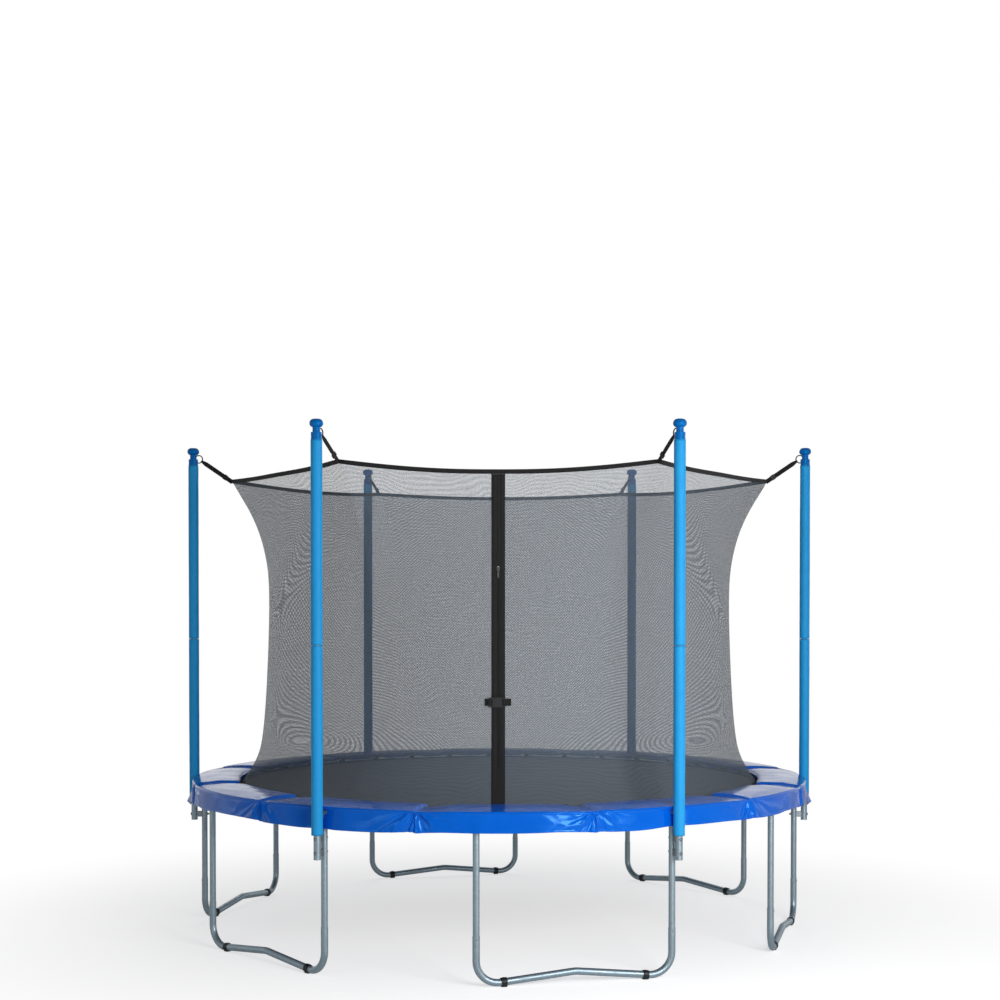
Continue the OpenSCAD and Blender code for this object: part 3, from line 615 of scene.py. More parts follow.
def bead_tree():
    tree, given = new_tree(
        "beads along a path", {"Spacing": "Float", "Bead": "Object", "Finish": "Material"}
    )
    line = result(tree, "GeometryNodeMeshToCurve", {"Mesh": given["Geometry"]})
    cut = {"Curve": line, "Length": given["Spacing"]}
    spaced = result(tree, "GeometryNodeResampleCurve", cut, mode="LENGTH")
    along = result(tree, "GeometryNodeInputTangent")
    up = add_node(tree, "GeometryNodeInputNamedAttribute", {"Name": "up"}, data_type="FLOAT_VECTOR")
    first = result(tree, "FunctionNodeAlignRotationToVector", {"Vector": along}, axis="Y")
    upright = {"Rotation": first, "Vector": up.outputs["Attribute"]}
    spin = result(tree, "FunctionNodeAlignRotationToVector", upright, axis="Z", pivot_axis="Y")
    bead = add_node(tree, "GeometryNodeObjectInfo", {"Object": given["Bead"]})
    placed = {"Points": spaced, "Instance": bead.outputs["Geometry"], "Rotation": spin}
    return end_tree(tree, result(tree, "GeometryNodeInstanceOnPoints", placed), given["Finish"])


WIRE, RING, BEADS = wire_tree(), ring_tree(), bead_tree()


def grow(piece, tree, **given):
    """Run a tree on a piece and keep the result as its mesh. given names the inputs, _ for a space."""
    modifier = piece.modifiers.new("grow", "NODES")
    modifier.node_group = tree
    for socket in tree.interface.items_tree:
        value = given.get(socket.name.replace(" ", "_"))
        if socket.in_out == "INPUT" and value is not None:
            modifier[socket.identifier] = value
    depsgraph = bpy.context.evaluated_depsgraph_get()
    made = bpy.data.meshes.new_from_object(piece.evaluated_get(depsgraph))
    piece.modifiers.remove(modifier)
    piece.data = made
    return piece


def line_piece(name, points, up=None, closed=False):
    """An object that holds only a line of edges, for a tree to work on."""
    points = np.asarray(points, float)
    count = len(points)
    edges = [(i, (i + 1) % count) for i in range(count if closed else count - 1)]
    mesh = bpy.data.meshes.new(name)
    mesh.from_pydata(points.tolist(), edges, [])
    if up is not None:
        held = mesh.attributes.new("up", "FLOAT_VECTOR", "POINT")
        held.data.foreach_set("vector", np.broadcast_to(np.float32(up), points.shape).ravel())
    return add_object(name, mesh)


def bead_piece(name, size):
    """A lozenge to string along a path: size is (width, length, height), lying along Y."""
    w, l, h = (s / 2 for s in size)
    points = [(-w, -l * 0.6, 0), (w, -l * 0.6, 0), (0, -l * 0.6, h), (0, -l, 0)]
    points += [(-w, l * 0.6, 0), (w, l * 0.6, 0), (0, l * 0.6, h), (0, l, 0)]
    points += [(0, -l * 0.6, -h), (0, l * 0.6, -h)]
    faces = [(0, 2, 6, 4), (2, 1, 5, 6), (1, 8, 9, 5), (8, 0, 4, 9)]
    faces += [(0, 3, 2), (2, 3, 1), (1, 3, 8), (8, 3, 0)]
    faces += [(4, 6, 7), (6, 5, 7), (5, 9, 7), (9, 4, 7)]
    made = add_piece(name, points, faces, zinc, smooth=False)
    made.hide_render = True
    return made


stitch = bead_piece("stitch_pattern", (1.4 * MM, 6.5 * MM, 1.4 * MM))
print("trees:", [tree.name for tree in bpy.data.node_groups])


def sew(name, path, up, spacing, body_call):
    """A row of stitches along a path, with its surface normals in up."""
    row = grow(line_piece(name, path, up), BEADS, Spacing=spacing, Bead=stitch, Finish=thread)
    body_call(row)
    return row


# %% [markdown]
# ## Foam sleeves
#
# Each pole wears two lengths of foam tube that meet half way up. A plain cylinder looks like
# steel, so each length is a lathed grid whose radius wanders a little, is rounded at its cut
# ends and shows the wall of the foam where it is open.

# %% Foam sleeves
foam_joint = 1.731
sleeve_bore = 0.0193


def foam_length(low, high, seed):
    """Grid of one length of foam, round the Z axis, from the bore over the outside and back."""
    heights = np.concatenate([[low, low], np.linspace(low, high, 90), [high, high]])
    rim = 2.2 * MM
    turns = np.linspace(0, 2 * math.pi, 32, endpoint=False)
    grid = []
    for row, z in enumerate(heights):
        inside = row in (0, len(heights) - 1)
        lip = row in (1, len(heights) - 2)
        ring = []
        for turn in turns:
            wander = noise.noise((math.cos(turn) * 0.7, math.sin(turn) * 0.7, z * 2.2 + seed))
            ripple = noise.noise((math.cos(turn) * 2, math.sin(turn) * 2, z * 26 + seed))
            r = foam_r - 0.5 * MM + 0.8 * MM * wander + 0.35 * MM * ripple
            if inside:
                r = sleeve_bore
            elif lip:
                r = foam_r - rim
            ring.append((r * math.cos(turn), r * math.sin(turn), z))
        grid.append(ring)
    return np.array(grid)


for number, angle in enumerate(pole_angles, start=1):
    parts = [
        foam_length(foam_low, foam_joint - 1.2 * MM, number * 7.3),
        foam_length(foam_joint + 1.2 * MM, foam_high, number * 7.3 + 40),
    ]
    points, faces, uv = [], [], []
    for grid in parts:
        quads, spots = grid_faces(*grid.shape[:2], round_cols=True)
        faces.append(quads[:, ::-1] + sum(len(p) for p in points))
        uv.append(spots[..., ::-1][:, ::-1] * 0.01)
        points.append(grid.reshape(-1, 3) + polar(angle, pole_r, 0.0))
    sleeve = add_piece(
        f"foam_cover_{number}", np.vstack(points), np.vstack(faces)[:, ::-1], foam, np.vstack(uv)
    )
    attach(sleeve, "frame")
    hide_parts(f"foam_sleeve_{number}")
print("foam covers: 6, each of two lengths")

# %% [markdown]
# ## Jumping mat
#
# The mat is one disc of woven polypropylene, held flat by the springs. It sags a few
# millimetres under its own weight. A webbing band is sewn round its edge with four rows of
# stitches, and 72 short loops of webbing hold the triangle rings.

# %% Jumping mat
mat_sag = 5 * MM
mat_rows, mat_cols = 48, 144
reach = np.linspace(0, 1, mat_rows)[:, None]
mat_angles = np.linspace(0, 360, mat_cols, endpoint=False)[None, :]
mat_points = polar(mat_angles, reach * mat_r, ring_z - mat_sag * (1 - reach**2) + 0 * mat_angles)
mat_disc = piece_from_grid("jumping_mat", mat_points[1:], weave, round_cols=True)
hub = np.arange(mat_cols)
close_ends(mat_disc, [hub.tolist()])
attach(mat_disc, "mat")
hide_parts("jump_mat")

band_in, band_out = 1.545, 1.592
band_turn = np.linspace(0, 360, 288, endpoint=False)
outward = polar(band_turn, 1.0, 0.0)
mat_band = ribbon(
    "mat_edge_band",
    polar(band_turn, (band_in + band_out) / 2, ring_z),
    outward,
    (band_out - band_in, 6 * MM),
    band,
    closed=True,
)
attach(mat_band, "mat")
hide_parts("mat_webbing")
stitch_turn = np.linspace(0, 360, len(band_turn) + 1)
stitch_step = 9 * MM


def ride_mat(piece):
    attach(piece, "mat")


for row, r in enumerate((1.550, 1.561, 1.576, 1.587), start=1):
    stitch_path = polar(stitch_turn, r, ring_z + 3.2 * MM)
    sew(f"mat_stitches_{row}", stitch_path, UP, stitch_step, ride_mat)

# %% [markdown]
# ## Triangle rings, webbing loops and springs
#
# Every spring hooks into a triangle of bent wire, and the triangle's base sits in a loop of
# webbing. All three are drawn once, at the entrance, and the ring tree sets 72 copies. The
# springs stretch between the frame and the mat, and the ring of springs is cut into one piece
# for each spring.

# %% Triangle rings and loops
spring_count = 72
spring_step = 2 * math.pi / spring_count
ring_given = {"Count": spring_count, "First_Angle": spring_step / 2, "Step": spring_step}
ring_wire_r = 2.1 * MM
ring_base, ring_apex, ring_half = 1.600, 1.638, 26 * MM


def rounded_corner(before, corner, after, radius, steps=5):
    """Points of a round corner on the way from before over corner to after."""
    before, corner, after = (np.asarray(p, float) for p in (before, corner, after))
    start = corner + (before - corner) / np.linalg.norm(before - corner) * radius
    end = corner + (after - corner) / np.linalg.norm(after - corner) * radius
    share = np.linspace(0, 1, steps)[:, None]
    return (1 - share) ** 2 * start + 2 * share * (1 - share) * corner + share**2 * end


triangle = [(-ring_half, -ring_base), (0.0, -ring_apex), (ring_half, -ring_base)]
bend = 5 * MM
triangle_line = np.vstack(
    [rounded_corner(triangle[i - 1], triangle[i], triangle[(i + 1) % 3], bend) for i in range(3)]
)
triangle_line = np.column_stack([triangle_line, np.full(len(triangle_line), ring_z)])
rings = line_piece("triangle_rings", triangle_line, closed=True)
grow(rings, WIRE, Radius=ring_wire_r, Sides=8, Finish=zinc)
grow(rings, RING, Finish=zinc, **ring_given)
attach(rings, "mat")
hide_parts("v_rings")

loop_turn = np.linspace(-100, 100, 9)
loop_r = ring_wire_r + 1.0 * MM
loop_line = [(0.0, -band_out + 6 * MM, ring_z + 2.2 * MM)]
loop_line += [
    (0.0, -ring_base - loop_r * math.cos(math.radians(t)), ring_z - loop_r * math.sin(math.radians(t)))
    for t in loop_turn
]
loop_line += [(0.0, -band_out + 6 * MM, ring_z - 2.2 * MM)]
loops = ribbon("ring_loops", loop_line, RIGHT, (22 * MM, 1.6 * MM), band)
grow(loops, RING, Finish=band, **ring_given)
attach(loops, "mat")

# %% Springs
coil_in, coil_out = 1.652, 1.772
hook_in, hook_out, held_r = 1.6305, 1.799, 1.632
coil_r, coil_wire_r = 10.6 * MM, 1.4 * MM
hook_z = middle("springs").z
coil_turns, points_a_turn = 27, 9
taper = 0.09


def spring_line():
    """Centre line of one spring at the entrance: hook, tapered coil and hook."""
    drop, bend = 6 * MM, 2 * MM
    front = [(0, -hook_in, hook_z - drop), (0, -hook_in, hook_z - bend), (0, -hook_in - bend, hook_z)]
    back = [(0, -hook_out + bend, hook_z), (0, -hook_out, hook_z - bend), (0, -hook_out, hook_z - drop)]
    share = np.linspace(0, 1, coil_turns * points_a_turn + 1)
    turn = share * coil_turns * 2 * math.pi
    narrow = np.clip(np.minimum(share, 1 - share) / taper, 0.12, 1.0) ** 0.7
    coil = np.column_stack(
        [
            coil_r * narrow * np.sin(turn),
            -(coil_in + share * (coil_out - coil_in)),
            hook_z + coil_r * narrow * np.cos(turn),
        ]
    )
    return np.vstack([front, coil, back])


wound = line_piece("springs_wound", spring_line())
grow(wound, WIRE, Radius=coil_wire_r, Sides=6, Finish=zinc)
one_spring = len(wound.data.vertices)
grow(wound, RING, Finish=zinc, **ring_given)
spring_points = np.array([v.co for v in wound.data.vertices]).reshape(spring_count, one_spring, 3)
one_set = [p.vertices[:] for p in wound.data.polygons if max(p.vertices) < one_spring]
bpy.data.objects.remove(wound)
for number in range(spring_count):
    angle = (number + 0.5) * 360 / spring_count
    spring = add_piece(f"spring_{number + 1:02d}", spring_points[number], one_set, zinc)
    polar(angle, hook_out, hook_z)
    polar(angle, held_r, hook_z)
    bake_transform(spring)
    if number == 0:
        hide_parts("springs")
print(f"springs: {spring_count}, {len(one_set)} faces each")

# %% [markdown]
# ## Safety net
#
# The net is one tall sheet pulled out to the six poles. Between the poles its own tension
# draws it in, and at its foot it flares out to the edge of the mat. Simulated cloth would
# take long and would drift from the solid that stands for it, so the sheet follows the same
# formulas as that solid: a line at the poles, a line half way between them, and a weight
# that goes from one to the other.

# %% Shape of the net
zip_foot_z, zip_foot_r, zip_slant = 1.080, 1.440, 0.0585
net_base_r, waist_r = 1.558, 1.390
net_mid_z, net_front_z, flare_z = 2.692, 2.653, 2.180
hem_h = 0.025


def corner_z(angle):
    """Height of the net's corners, a little more at the back."""
    return net_corner_z + back_lift * np.maximum(0, -np.cos(np.radians(angle)))


def top_z(angle):
    """Height of the net's edge half way between two poles, lower where the zip weighs it down."""
    return np.where(np.cos(np.radians(angle)) > math.cos(math.radians(30)), net_front_z, net_mid_z)


def pole_line(angle, z):
    """Radius of the net at a pole. The corners at the sides are pulled out less than the others."""
    flare = (net_base_r - waist_r) * np.exp((net_bottom - z) / 0.215)
    reach = 0.250 + 0.060 * np.cos(np.radians(angle)) ** 2
    return waist_r + flare + reach * np.exp(-(np.maximum((corner_z(angle) - z) / 0.297, 0) ** 1.3))


def mid_line(z):
    """Radius half way between two poles: straight along the zip, flared below and near the hem."""
    below = zip_foot_z - np.minimum(z, zip_foot_z)
    full = zip_foot_z - net_bottom
    low = zip_foot_r + zip_slant * below
    low = low + (net_base_r - zip_foot_r - zip_slant * full) * (below / full) ** 2
    flare = 0.095 * (np.maximum(z - flare_z, 0) / (net_front_z - flare_z)) ** 2
    return np.where(z > zip_foot_z, zip_foot_r - zip_slant * (z - zip_foot_z) + flare, low)


def net_point(angle, share, out=0.0):
    """Point of the net at an angle and a share of its height, moved out by some metres."""
    pulled = np.abs(((angle + 390) % 60) / 30 - 1) ** 2.4
    at_pole = net_bottom + share * (corner_z(angle) - net_bottom)
    between = net_bottom + share * (top_z(angle) - net_bottom)
    r = mid_line(between) * (1 - pulled) + pole_line(angle, at_pole) * pulled
    return polar(angle, r + out, between * (1 - pulled) + at_pole * pulled)


# %% Net
gap_angle = math.degrees(math.asin(0.014 / zip_foot_r))
net_cols, net_rows = 540, 110
net_angles = np.linspace(gap_angle, 360 - gap_angle, net_cols)[None, :]
net_shares = np.linspace(0, 1 - hem_h / 2 / (net_front_z - net_bottom), net_rows)[:, None]


def tension(angle, share):
    """Small creases that fan down from each corner, in metres outwards."""
    from_pole = ((angle + 390) % 60) - 30
    from_pole = np.where(from_pole > 0, 30 - from_pole, -30 - from_pole)
    below = (1 - share) * 1.8 + 0.05
    sideways = np.radians(from_pole) * 1.5
    fan = np.sin(np.arctan2(sideways, below) * 26)
    fade = np.exp(-((np.hypot(sideways, below) - 0.15) ** 2) / 0.09)
    return 3.0 * MM * fan * fade


net_points = net_point(net_angles, net_shares, tension(net_angles, net_shares))
net_sheet = piece_from_grid(
    "safety_net",
    net_points,
    net_cloth,
    uv_step=(2 * math.pi * net_base_r / net_cols, 1.80 / net_rows),
)
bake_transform(net_sheet)
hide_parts("net")

# %% [markdown]
# ## Hem of the net
#
# A folded band of webbing binds the top edge and carries the pull from corner to corner. It
# follows the top of the net as one closed ribbon, with a row of stitches inside and outside.

# %% Hem
hem_turn = np.unique(np.concatenate([np.arange(0, 360, 2.0), np.array(pole_angles) % 360.0]))
hem_low, hem_high = 1 - hem_h / (net_front_z - net_bottom), 1.0
hem_mid = net_point(hem_turn, (hem_low + hem_high) / 2)
hem_rise = net_point(hem_turn, hem_high) - net_point(hem_turn, hem_low)
hem = ribbon("net_top_hem", hem_mid, hem_rise, (hem_h, 5 * MM), band, closed=True)
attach(hem, "frame")
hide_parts("net_hem")
sewn_turn = np.linspace(0, 360, 361)
hem_seams = [(hem_low + 0.003, 1), (hem_low + 0.003, -1), (hem_high - 0.002, 1)]


def ride_frame(piece):
    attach(piece, "frame")


for row, (share, side) in enumerate(hem_seams, start=1):
    outwards = net_point(sewn_turn, share, side * 0.01) - net_point(sewn_turn, share)
    stitch_path = net_point(sewn_turn, share, side * 2.9 * MM)
    sew(f"hem_stitches_{row}", stitch_path, outwards, stitch_step, ride_frame)

# %% [markdown]
# ## Corner straps and elastic rings
#
# A strap runs from each corner of the net up to an elastic ring on the cap. It is folded round
# the ring's cord, where it is gathered to half its width, and sewn back on itself. Strap, slide
# adjuster and ring lie in the upright plane through the pole, with the width of the strap in
# that plane.

# %% Straps
ring_at = np.array([pole_r - 0.0335, foam_high + 0.039])
elastic_r, elastic_wire_r = 0.023, 3.4 * MM
strap_w, strap_t = 27 * MM, 1.5 * MM


def in_pole_plane(spots):
    """Points at the entrance from pairs of radius and height."""
    spots = np.asarray(spots, float)
    return np.column_stack([np.zeros(len(spots)), -spots[:, 0], spots[:, 1]])


for number, angle in enumerate(pole_angles, start=1):
    hem_z = float(corner_z(angle)) - hem_h / 2
    corner = np.array([float(pole_line(angle, hem_z)), hem_z - 1 * MM])
    run_length = float(np.hypot(*(corner - ring_at)))
    run_unit = (corner - ring_at) / run_length
    side = polar(angle, 0.0, 0.0) + np.append(polar(angle, -run_unit[1], 0.0)[:2], run_unit[0])
    face = np.cross(polar(angle, 1.0, 0.0), [0.0, 0.0, 1.0])
    turn = np.radians(np.linspace(100, -100, 9))
    fold_r = elastic_wire_r + strap_t
    fold = [(elastic_r - fold_r * math.cos(t), fold_r * math.sin(t)) for t in turn]
    apart, parting = 0.8 * MM, elastic_r + 30 * MM
    upper = [(run_length - 70 * MM, apart), (parting, apart), (elastic_r + 9 * MM, 2 * apart)]
    lower = [(elastic_r + 9 * MM, -2 * apart), (parting, -apart)]
    lower += [(d, -apart) for d in np.linspace(elastic_r + 60 * MM, run_length + 6 * MM, 6)]
    line = np.array([*upper, *fold, *lower])
    spots = ring_at + line[:, :1] * run_unit
    path = polar(angle, spots[:, 0], spots[:, 1]) + line[:, 1:] * face
    width = np.interp(line[:, 0], [elastic_r + 2 * MM, elastic_r + 18 * MM], [13 * MM, strap_w])
    strap = ribbon(f"corner_strap_{number}", path, side, (width, strap_t), band)
    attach(strap, "frame")
    if number == 1:
        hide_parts("net_straps")

elastic_turn = np.radians(np.arange(0, 360, 15))
elastic_line = [ring_at + elastic_r * np.array([math.cos(t), math.sin(t)]) for t in elastic_turn]
elastic = line_piece("elastic_rings", in_pole_plane(elastic_line), closed=True)
first_pole = math.radians(pole_angles[0])
grow(elastic, WIRE, Radius=elastic_wire_r, Sides=10, Finish=cord)
grow(elastic, RING, Finish=cord, Count=6, First_Angle=first_pole, Step=math.radians(60))
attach(elastic, "frame")
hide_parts("cap_rings")

# %% [markdown]
# ## Zip
#
# Two webbing tapes run the whole height of the net. Between them a coil zip closes the
# entrance from its sill up to the slider, and above and below it a strip covers the gap. The
# teeth are beads drawn 4 mm apart where a real coil has 2.5 mm. The thin edges of the tapes
# run behind them and keep the light out.

# %% Zip tapes
zip_w = 0.073
zip_half_gap = 4 * MM
slider_z = middle("zip_slider").z
chain_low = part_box("zip_chain")[0].z
tape_w = zip_w / 2 - zip_half_gap
tape_top = net_front_z - hem_h
sill_z = np.linspace(net_bottom, zip_foot_z, 14)
tape_z = np.concatenate([sill_z[:-1], np.linspace(zip_foot_z, tape_top, 60)])


def zip_point(x, z, out):
    """Point on the zip strip: x across it, at a height, in front of the net's own line."""
    return np.column_stack(np.broadcast_arrays(x, -(mid_line(z) + out), z)).astype(float)


def bend_with_net(piece):
    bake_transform(piece)


for side, name in ((-1, "zip_tape_left"), (1, "zip_tape_right")):
    centre = side * (zip_half_gap + tape_w / 2)
    tape = ribbon(name, zip_point(centre, tape_z, 2 * MM), RIGHT, (tape_w, 1.6 * MM), band)
    bend_with_net(tape)
    for row, x in enumerate((0.0072, 0.0125, 0.0335), start=1):
        seam_path = zip_point(side * x, tape_z, 3.1 * MM)
        sew(f"{name}_stitches_{row}", seam_path, FORWARD, stitch_step, bend_with_net)
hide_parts("zip_tape")

for name, low, high in (
    ("zip_top_cover", slider_z + 0.016, tape_top),
    ("zip_sill_cover", net_bottom, chain_low),
):
    z = np.linspace(low, high, 24)
    cover = ribbon(name, zip_point(0.0, z, 3.2 * MM), RIGHT, (14 * MM, 1.4 * MM), band)
    bend_with_net(cover)

# %% Zip teeth
tooth = bead_piece("tooth_pattern", (6.4 * MM, 2.6 * MM, 3.0 * MM))
tooth_z = np.linspace(chain_low + 2 * MM, slider_z - 13 * MM, 80)
for side, shift, name in ((-1, 0.0, "zip_teeth_left"), (1, 2 * MM, "zip_teeth_right")):
    line = zip_point(side * 2.0 * MM, tooth_z + shift, 3.0 * MM)
    row = grow(
        line_piece(name, line, FORWARD), BEADS, Spacing=4 * MM, Bead=tooth, Finish=coil_nylon
    )
    bend_with_net(row)
    edge_z = np.linspace(chain_low - 2 * MM, slider_z - 4 * MM, 60)
    edge = ribbon(
        name.replace("teeth", "tape_edge"),
        zip_point(side * 2.1 * MM, edge_z, 0.7 * MM),
        RIGHT,
        (4.1 * MM, 1.2 * MM),
        band,
    )
    bend_with_net(edge)
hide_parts("zip_chain")

# %% [markdown]
# ## Buckle straps
#
# A side-release buckle holds the entrance shut when the zip is open. Each half is sewn to its
# tape by a loop of webbing. The male half's strap gives as the buckle is pulled apart.

# %% Buckle straps
buckle_z = middle("buckle_female").z
lean = math.atan(zip_slant)
buckle_foot = np.array([0.0, -float(mid_line(np.array(buckle_z))), buckle_z])


def at_buckle(spots):
    """Points at the buckle's height from pairs of X and Y in millimetres in the zip's own frame."""
    spots = np.asarray(spots, float) * MM
    y = spots[:, 1]
    return buckle_foot + np.column_stack([spots[:, 0], y * math.cos(lean), -y * math.sin(lean)])


def smooth_line(spots, steps=6):
    """Catmull-Rom curve through spots."""
    p = np.vstack([2 * spots[0] - spots[1], spots, 2 * spots[-1] - spots[-2]])
    t = np.linspace(0, 1, steps, endpoint=False)[:, None]
    runs = [
        0.5
        * (
            2 * p[i]
            + (p[i + 1] - p[i - 1]) * t
            + (2 * p[i - 1] - 5 * p[i] + 4 * p[i + 1] - p[i + 2]) * t**2
            + (3 * p[i] - p[i - 1] - 3 * p[i + 1] + p[i + 2]) * t**3
        )
        for i in range(1, len(p) - 2)
    ]
    return np.vstack([*runs, spots[-1:]])


zip_up = np.array([0.0, math.sin(lean), math.cos(lean)])
female_line = [(22.5, -16), (22.5, -24.4), (27, -25.6), (32, -24), (33, -17), (62, -14)]
female_line += [(68, -10), (60, -5), (28, -4)]
male_line = [(-43.5, -16), (-43.5, -24.4), (-48, -25.6), (-53, -24), (-54, -17), (-66, -14)]
male_line += [(-71, -10), (-63, -5), (-28, -4)]
for name, line in (("buckle_strap_right", female_line), ("buckle_strap_left", male_line)):
    path = smooth_line(at_buckle(line))
    strap = ribbon(name, path, zip_up, (38 * MM, 1.7 * MM), band)
    if name == "buckle_strap_right":
        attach(strap, "frame")
        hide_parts("buckle_straps")
    else:
        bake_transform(strap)

# %% [markdown]
# ## Net tabs
#
# Thirty-six short webbing tabs at the foot of the net carry the snap hooks.

# %% Net tabs
tab_line = in_pole_plane(
    [
        (1.5672, ring_z + 14.0 * MM),
        (1.5672, ring_z + 6.2 * MM),
        (1.5612, ring_z + 6.0 * MM),
        (1.5606, ring_z + 20.0 * MM),
        (1.5515, ring_z + 32.0 * MM),
    ]
)
tab_path = smooth_line(tab_line, 4) + np.array([15.5 * MM, 0.0, 0.0])
tabs = ribbon("hook_tabs", tab_path, RIGHT, (25 * MM, 1.5 * MM), band)
tab_first, tab_step = 2.5, 10
first_tab, tab_turn = math.radians(tab_first), math.radians(tab_step)
grow(tabs, RING, Finish=band, Count=360 // tab_step, First_Angle=first_tab, Step=tab_turn)
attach(tabs, "mat")
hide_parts("net_tabs")

# %% [markdown]
# ## Edge pad
#
# Twelve foam segments in a glossy vinyl cover lie over the springs, and a skirt of the same
# vinyl hangs round the ring tube. The cover is drawn in at every seam. The vinyl creases
# there in a fan and lies in long soft ripples over the foam. The skirt is pressed in by the
# poles, and its hem sags where nothing holds it.

# %% Columns and creases
pad_in, pad_out = 1.566, 1.848
pad_under, pad_top = 0.884, 0.914
nose_r, edge_r = 0.012, 0.010
edge_low, lip_low, rim_low = 0.895, 0.891, 0.888
under_r, rim_r = 1.80, 1.826
SEAMS = np.array([-73.5, -43.5, -13.0, 15.6, 47.0, 70.5, 104.0, 135.0, 165.0, 195.0, 225.0, 255.0])
seam_columns = np.unique(np.concatenate([np.arange(-0.6, 0.6, 0.06), np.arange(-7.5, 7.5, 0.16)]))
seam_columns = seam_columns[np.concatenate([[True], np.diff(seam_columns) > 0.02])]
pad_angles = []
for seam, after in zip(SEAMS, np.append(SEAMS[1:], SEAMS[0] + 360)):
    pad_angles += [seam + seam_columns, np.linspace(seam + 7.5, after - 7.5, 30)[1:-1]]
pad_angles = np.sort(np.concatenate(pad_angles) % 360)


def soft_noise(x, y, z=0.0):
    """Smooth noise on arrays."""
    flat = [noise.noise((a, b, c)) for a, b, c in zip(*(v.ravel() for v in np.broadcast_arrays(x, y, z)))]
    return np.array(flat).reshape(np.broadcast(x, y, z).shape)


def from_seam(angle):
    """Signed degrees to the nearest seam."""
    away = (angle[..., None] - SEAMS + 180) % 360 - 180
    return np.take_along_axis(away, np.abs(away).argmin(axis=-1)[..., None], axis=-1)[..., 0]


def seam_number(angle):
    """Which seam is nearest, so that no two seams crease alike."""
    return (np.abs((angle[..., None] - SEAMS + 180) % 360 - 180).argmin(axis=-1) + 9) % 12


def from_pole(angle):
    """Signed degrees to the nearest pole."""
    return ((angle + 390) % 60 + 30) % 60 - 30


def seam_share(angle):
    """1 at a seam, falling to 0 within six degrees."""
    return np.maximum(0, 1 - np.abs(from_seam(angle)) / 6) ** 1.5


def valley(angle):
    """1 at a seam. The foam segment towards the front slopes down to it, the next starts steeply."""
    seam = from_seam(angle) * np.where(np.sin(np.radians(angle)) > 0, 1, -1)
    return np.where(seam < 0, np.exp(-((seam / 3.8) ** 2)), np.exp(-((seam / 0.5) ** 2)))


# %% Pillow of the pad


def pillow_grid():
    """Closed cross-sections of the padded ring, from the underside over the nose and the top."""
    angle = pad_angles[None, :]
    seam, dip = seam_share(angle), valley(angle)
    tab = np.abs((angle - 2.5 + 5) % 10 - 5)
    nose_low = pad_under - 9 * MM * np.clip((tab - 1.2) / 1.6, 0, 1)
    inner = pad_in + 22 * MM * seam
    outer = pad_out - 4 * MM * seam
    rows = []
    for share in np.linspace(0, 1, 7)[:-1]:
        under = pad_under + (nose_low - pad_under) * np.clip(share * 3 - 2, 0, 1)
        rows.append((under_r + (inner + nose_r - under_r) * share, under))

    def top(share):
        crown = 5 * (1 - share / 0.35) ** 2 if share < 0.35 else 13 * ((share - 0.35) / 0.65) ** 1.9
        return pad_top - (1 + crown + dip * (17 - 6 * share)) * MM

    for turn in np.radians(np.linspace(-90, 90, 9)):
        mid, half = (nose_low + top(0.0)) / 2, (top(0.0) - nose_low) / 2
        rows.append((inner + nose_r - nose_r * math.cos(turn), mid + half * math.sin(turn)))
    for share in np.linspace(0, 1, 20)[1:-1]:
        rows.append((inner + nose_r + (outer - edge_r - inner - nose_r) * share, top(share)))
    for turn in np.radians(np.linspace(90, 0, 6)):
        edge_z = edge_low + (top(1.0) - edge_low) * math.sin(turn)
        rows.append((outer - edge_r + edge_r * math.cos(turn), edge_z))
    rows.append((outer - edge_r, lip_low))
    rows.append((rim_r, rim_low))
    r = np.vstack([row[0] + 0 * angle for row in rows])
    z = np.vstack([row[1] + 0 * angle for row in rows])
    on_top = np.clip((z - 0.892) / 0.012, 0, 1)
    side = np.radians(from_seam(angle)) * r
    far = outer - r + 0.02
    spread = np.arctan2(side, far)
    number = seam_number(angle)
    wobble = soft_noise(r * 9, side * 9, number * 3.3)
    fan = np.abs(np.sin(spread * 5.2 + wobble * 1.8 + number))
    z = z - on_top * 2.0 * MM * fan * np.exp(-((np.hypot(side, far) / 0.2) ** 2)) * (1 - dip)
    long_ripples = np.abs(soft_noise(r * 9 + 0.02 * angle, angle * 0.07, 3.0))
    z = z - on_top * 3.0 * MM * long_ripples
    return polar(angle, r, z)


pillow = piece_from_grid("pad_cushion", pillow_grid(), vinyl, round_cols=True, round_rows=True)
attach(pillow, "frame")
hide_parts("pad_cover", "pad_foam")

# %% Skirt of the pad
skirt_top, skirt_low = 0.8985, 0.7955
skirt_start_r = 1.8475
cloth_t = 1.4 * MM
# The hem sags most where the corners of the flaps are free: angle, fade in degrees, drop in mm
free_at, free_fade, free_drop = 84, 8, 47
# Shallow sags elsewhere: angle, half width in degrees, drop in mm
SAGS = [(-160, 14, 8), (-63, 3, 8), (-28, 14, 15), (0, 8, 5), (21, 5, 9), (53, 5, 8), (140, 14, 8)]


def hem_drop(angle):
    """How much lower than its level line the hem of the skirt hangs, in metres."""
    signed = (angle + 180) % 360 - 180
    drop = free_drop * np.exp(-np.abs(np.abs(signed) - free_at) / free_fade)
    for at, half_width, depth in SAGS:
        drop = drop + depth * np.exp(-(((signed - at) / half_width) ** 4))
    return drop * MM


